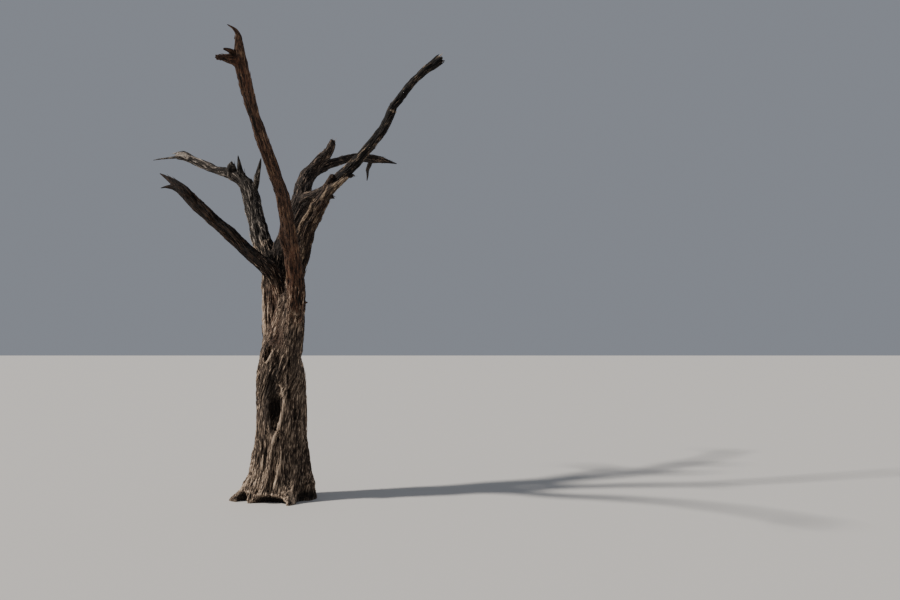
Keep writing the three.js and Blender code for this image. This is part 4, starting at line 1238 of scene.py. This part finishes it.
def closeLoops(quads):
    # the rings of open edges round a part of the skin, each in order
    edges = np.stack([quads, np.roll(quads, -1, 1)], -1).reshape(-1, 2)
    low, high = edges.min(1).astype(np.int64), edges.max(1).astype(np.int64)
    keys, index = np.unique(low * (high.max() + 1) + high, return_inverse=True)
    net = np.bincount(index, np.where(edges[:, 0] == low, 1, -1)).round().astype(int)
    following = {}
    for key in np.flatnonzero(net):
        a, b = int(keys[key] // (high.max() + 1)), int(keys[key] % (high.max() + 1))
        if net[key] < 0:
            a, b = b, a
        following.setdefault(b, []).extend([a] * abs(net[key]))
    rings = []
    while following:
        start = next(iter(following))
        ring, here = [], start
        while True:
            ring.append(here)
            ways = following[here]
            nextPoint = ways.pop()
            if not ways:
                del following[here]
            here = nextPoint
            if here == start:
                break
        rings.append(ring)
    return rings


def makePiece(name, quads, slot):
    # a closed mesh from a part of the skin: each ring of open edges gets a point in its middle
    used, local = np.unique(quads, return_inverse=True)
    local = local.reshape(quads.shape)
    places = points[used]
    rings = closeLoops(local)
    middles = [places[ring].mean(0) for ring in rings]
    mesh = bpy.data.meshes.new(name)
    faces = local.tolist()
    count = len(places)
    for number, ring in enumerate(rings):
        faces += [[a, b, count + number] for a, b in zip(ring, ring[1:] + ring[:1])]
    mesh.from_pydata(np.vstack([places, *middles]).tolist(), [], faces)
    mesh.update()
    mesh.shade_smooth()
    for attribute in materialAttributes:
        values = wood[attribute][used]
        values = np.concatenate([values, np.repeat(values[:1], len(middles), axis=0)])
        addAttribute(mesh, attribute, values)
    corners = np.zeros((len(mesh.loops), 3), np.float32)
    corners[:local.size] = normals[used][local.ravel()]
    for polygon in mesh.polygons[len(local):]:
        corners[polygon.loop_start:polygon.loop_start + 3] = polygon.normal
    mesh.normals_split_custom_set(corners.tolist())
    mesh.materials.append(woodMaterials[slot])
    return addPiece(name, mesh)


pieces, label = pieceLabels()
faceLabel = label[skinQuads].min(1)
slots = {name: "trunk_wood" for name in trunkTops}
for name, limb in limbs.items():
    if "piece" not in limb:
        slots[nodeName(name)] = woodLooks[limb["wood"]]["slot"]
for number, name in enumerate(pieces):
    own = skinQuads[faceLabel == number]
    ofTrunk = name in trunkTops
    piece = makePiece(name if ofTrunk else name + "_wood", own, slots[name])
    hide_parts("trunk" if ofTrunk else name)
    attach(piece, "root")
    print("piece:", piece.name, len(own) * 2, "triangles")

# torn fibres that stand off the wood, in metres: along the grain, and round every snapped end
sliverSettings = {
    "Length": 0.05,
    "Breadth": 0.0042,
    "Thickness": 0.0026,
    "Lean": 0.13,    # how far a sliver leans off the grain, as a share of its length
    "Waver": 0.004,  # how far it bends from straight
    "Seed": 5,
    "Wood": woodMaterials["trunk_wood"],
}
# a sliver takes a share of a setting by chance, between the lowest and the highest one here
sliverChances = {
    "lean": ("Lean", 0.1, 1.0),
    "sway": ("Lean", -0.8, 0.8),
    "length": ("Length", 0.35, 1.3),
    "thickness": ("Thickness", 0.6, 1.3),
    "breadth": ("Breadth", 0.6, 1.6),
}
sliverPlaces = {
    "onSkin": 1700,            # how many stand on the skin
    "atEnd": 20,               # and how many round each snapped end
    "lowest": 0.55,            # the foot is worn smooth, so none stand below this height
    "leastOut": 0.02,          # nor on the thinnest twigs
    "leastRelief": 0.1,        # nor in furrows
    "mostShade": 0.3,          # nor in hollows
    "sunk": 0.0012,            # how deep their feet are in the wood
    "endOut": (0.1, 0.85),     # where they stand at an end, as shares of its section
    "endBack": 0.7,            # how far back from it, as a share of breakDepth
    "endStretch": (0.3, 0.75),  # how long they are there, as shares, where breakDepth is "endDepth"
    "endDepth": 34,
    "paler": 0.35,             # torn wood is paler than the worn skin
    "seed": 17,
}


def sliverTree():
    tree, given = openTree("torn_fibres", sliverSettings)
    along, facing, stretch = (
        addNode(tree, "GeometryNodeInputNamedAttribute", {"Name": name}, data_type=kind)
        for name, kind in (("along", "FLOAT_VECTOR"), ("facing", "FLOAT_VECTOR"), ("stretch", "FLOAT"))
    )
    sizes = {}
    for step, (key, (base, low, high)) in enumerate(sliverChances.items(), 1):
        seed = addNode(tree, "ADD", [given["Seed"], step])
        chance = addNode(tree, "FunctionNodeRandomValue", {"Min_001": low, "Max_001": high, "Seed": seed},
                         data_type="FLOAT").outputs[1]
        sizes[key] = addNode(tree, "MULTIPLY", [chance, given[base]])
    across = addNode(tree, "ShaderNodeVectorMath", [facing, along], operation="CROSS_PRODUCT")
    leaning = addNode(tree, "ShaderNodeVectorMath", {0: facing, "Scale": sizes["lean"]}, operation="SCALE")
    swaying = addNode(tree, "ShaderNodeVectorMath", {0: across, "Scale": sizes["sway"]}, operation="SCALE")
    way = addNode(tree, "ShaderNodeVectorMath", [leaning, swaying], operation="ADD")
    way = addNode(tree, "ShaderNodeVectorMath", [along, way], operation="ADD")
    turned = addNode(tree, "FunctionNodeAlignRotationToVector", {"Vector": way}, axis="Z")
    turned = addNode(tree, "FunctionNodeAlignRotationToVector", {"Rotation": turned, "Vector": facing},
                     axis="X", pivot_axis="Z")
    length = addNode(tree, "MULTIPLY", [sizes["length"], stretch])
    size = addNode(tree, "ShaderNodeCombineXYZ", [sizes["thickness"], sizes["breadth"], length])
    sliver = addNode(tree, "GeometryNodeMeshCone", {
        "Vertices": 5, "Side Segments": 3, "Radius Top": 0.08, "Radius Bottom": 1.0, "Depth": 1.0,
    })
    placed = addNode(tree, "GeometryNodeInstanceOnPoints", {
        "Points": given["Geometry"], "Instance": sliver, "Rotation": turned, "Scale": size,
    })
    realized = addNode(tree, "GeometryNodeRealizeInstances", {"Geometry": placed})
    bend = addNode(tree, "ShaderNodeTexNoise", {"Scale": 30.0, "Detail": 0.0}).outputs["Color"]
    bend = addNode(tree, "ShaderNodeVectorMath", [bend, (-0.5, -0.5, -0.5)], operation="ADD")
    waver = addNode(tree, "MULTIPLY", [given["Waver"], 2.0])
    bend = addNode(tree, "ShaderNodeVectorMath", {0: bend, "Scale": waver}, operation="SCALE")
    bent = addNode(tree, "GeometryNodeSetPosition", {"Geometry": realized, "Offset": bend})
    return closeTree(tree, bent, given["Wood"])


def sliverFeet():
    # where the slivers stand: points of the skin taken by chance, and rings round the snapped ends
    places = sliverPlaces
    chance = np.random.default_rng(places["seed"])
    high = (points[:, 2] > places["lowest"]) & (wood["out"] > places["leastOut"])
    high &= (wood["relief"] > places["leastRelief"]) & (wood["shade"] < places["mostShade"])
    taken = chance.choice(np.flatnonzero(high), places["onSkin"], replace=False)
    feet = [{
        "place": points[taken] - places["sunk"] * normals[taken], "along": wood["along"][taken],
        "facing": normals[taken], "stretch": np.ones(len(taken)), "near": taken,
    }]
    tips = np.flatnonzero(wood["shade"] < 0.5)
    for limb in limbs.values():
        if "breakDepth" not in limb:
            continue
        count = places["atEnd"]
        angle = chance.uniform(0, 2 * math.pi, count)
        share = np.sqrt(chance.uniform(*places["endOut"], count))
        out = np.cos(angle)[:, None] * limb["side"][-1] + np.sin(angle)[:, None] * limb["across"][-1]
        place = limb["middle"][-1] + out * (share * limb["radius"][-1])[:, None]
        place = place - limb["along"][-1] * limb["breakDepth"] / 1000 * places["endBack"]
        nearest = tips[np.linalg.norm(points[tips] - limb["middle"][-1], axis=1).argmin()]
        feet.append({
            "place": place, "along": np.tile(limb["along"][-1], (count, 1)), "facing": out,
            "stretch": chance.uniform(*places["endStretch"], count) * limb["breakDepth"] / places["endDepth"],
            "near": np.full(count, nearest),
        })
    return {key: np.concatenate([group[key] for group in feet]) for key in feet[0]}


def makeSlivers():
    feet = sliverFeet()
    slotOf = np.array([slots[name] for name in pieces])[label[feet["near"]]]
    tree = sliverTree()
    for slot, material in woodMaterials.items():
        mine = slotOf == slot
        mesh = newMesh(slot, feet["place"][mine])
        for key in ("along", "facing", "stretch"):
            addAttribute(mesh, key, feet[key][mine])
        for key in materialAttributes:
            values = wood[key][feet["near"][mine]]
            addAttribute(mesh, key, values + sliverPlaces["paler"] if key == "pale" else values)
        grown = runNodes(addPiece(slot, mesh), tree, {**sliverSettings, "Wood": material})
        grown.name = slot + "_slivers"
        placeInside(grown, readVectors(grown.vertices, "co"))
        piece = addPiece(slot + "_slivers", grown)
        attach(piece, "root")
        print("slivers:", piece.name, int(mine.sum()), "of", len(grown.polygons), "faces")


makeSlivers()

cameraSettings = {
    "place": (1.633, -6.60, 1.565),
    "lens": 28,           # millimetres, on a sensor 36 mm broad
    "sensor": 36,
    "picture": (900, 600),  # size of the picture in pixels
    "levelRow": 332,      # pixel row that is level with the camera, which gives the tilt
}
cameraData = bpy.data.cameras.new("camera")
cameraData.type = "PERSP"
cameraData.sensor_width = cameraSettings["sensor"]
cameraData.lens = cameraSettings["lens"]
columns, rows = cameraSettings["picture"]
focalPixels = columns * cameraSettings["lens"] / cameraSettings["sensor"]
tilt = math.atan((cameraSettings["levelRow"] - rows / 2) / focalPixels)
camera = bpy.data.objects.new("camera", cameraData)
camera.location = cameraSettings["place"]
camera.rotation_euler = (math.radians(90) + tilt, 0, 0)
bpy.context.scene.collection.objects.link(camera)
bpy.context.scene.camera = camera

floorSettings = {"half": 40, "colour": "#cecbc7", "roughness": 0.95}
half = floorSettings["half"]
floorMesh = bpy.data.meshes.new("floor")
floorMesh.from_pydata(
    [(-half, -half, 0), (half, -half, 0), (half, half, 0), (-half, half, 0)], [], [(0, 1, 2, 3)],
)
floor = addPiece("floor", floorMesh)
floorMaterial = bpy.data.materials.new("pale_floor")  # matt painted board
floorMaterial.use_nodes = True
floorShader = floorMaterial.node_tree.nodes["Principled BSDF"]
floorShader.inputs["Base Color"].default_value = (*linearColour(floorSettings["colour"]), 1)
floorShader.inputs["Roughness"].default_value = floorSettings["roughness"]
floorMesh.materials.append(floorMaterial)

lightSettings = {
    "power": 4.6, "spread": 4, "colour": (1.0, 0.95, 0.88), "way": (1.286, 0.353, -1),
    "fillColour": (0.82, 0.88, 1.0), "fill": 0.28,
}
keyLight = bpy.data.lights.new("key", "SUN")
keyLight.energy = lightSettings["power"]
keyLight.angle = math.radians(lightSettings["spread"])
keyLight.color = lightSettings["colour"]
key = bpy.data.objects.new("key", keyLight)
key.rotation_euler = Vector(lightSettings["way"]).to_track_quat("-Z", "Y").to_euler()
bpy.context.scene.collection.objects.link(key)
world = bpy.data.worlds.new("studio")
bpy.context.scene.world = world
world.use_nodes = True
background = world.node_tree.nodes["Background"]
background.inputs["Color"].default_value = (*lightSettings["fillColour"], 1)
background.inputs["Strength"].default_value = lightSettings["fill"]
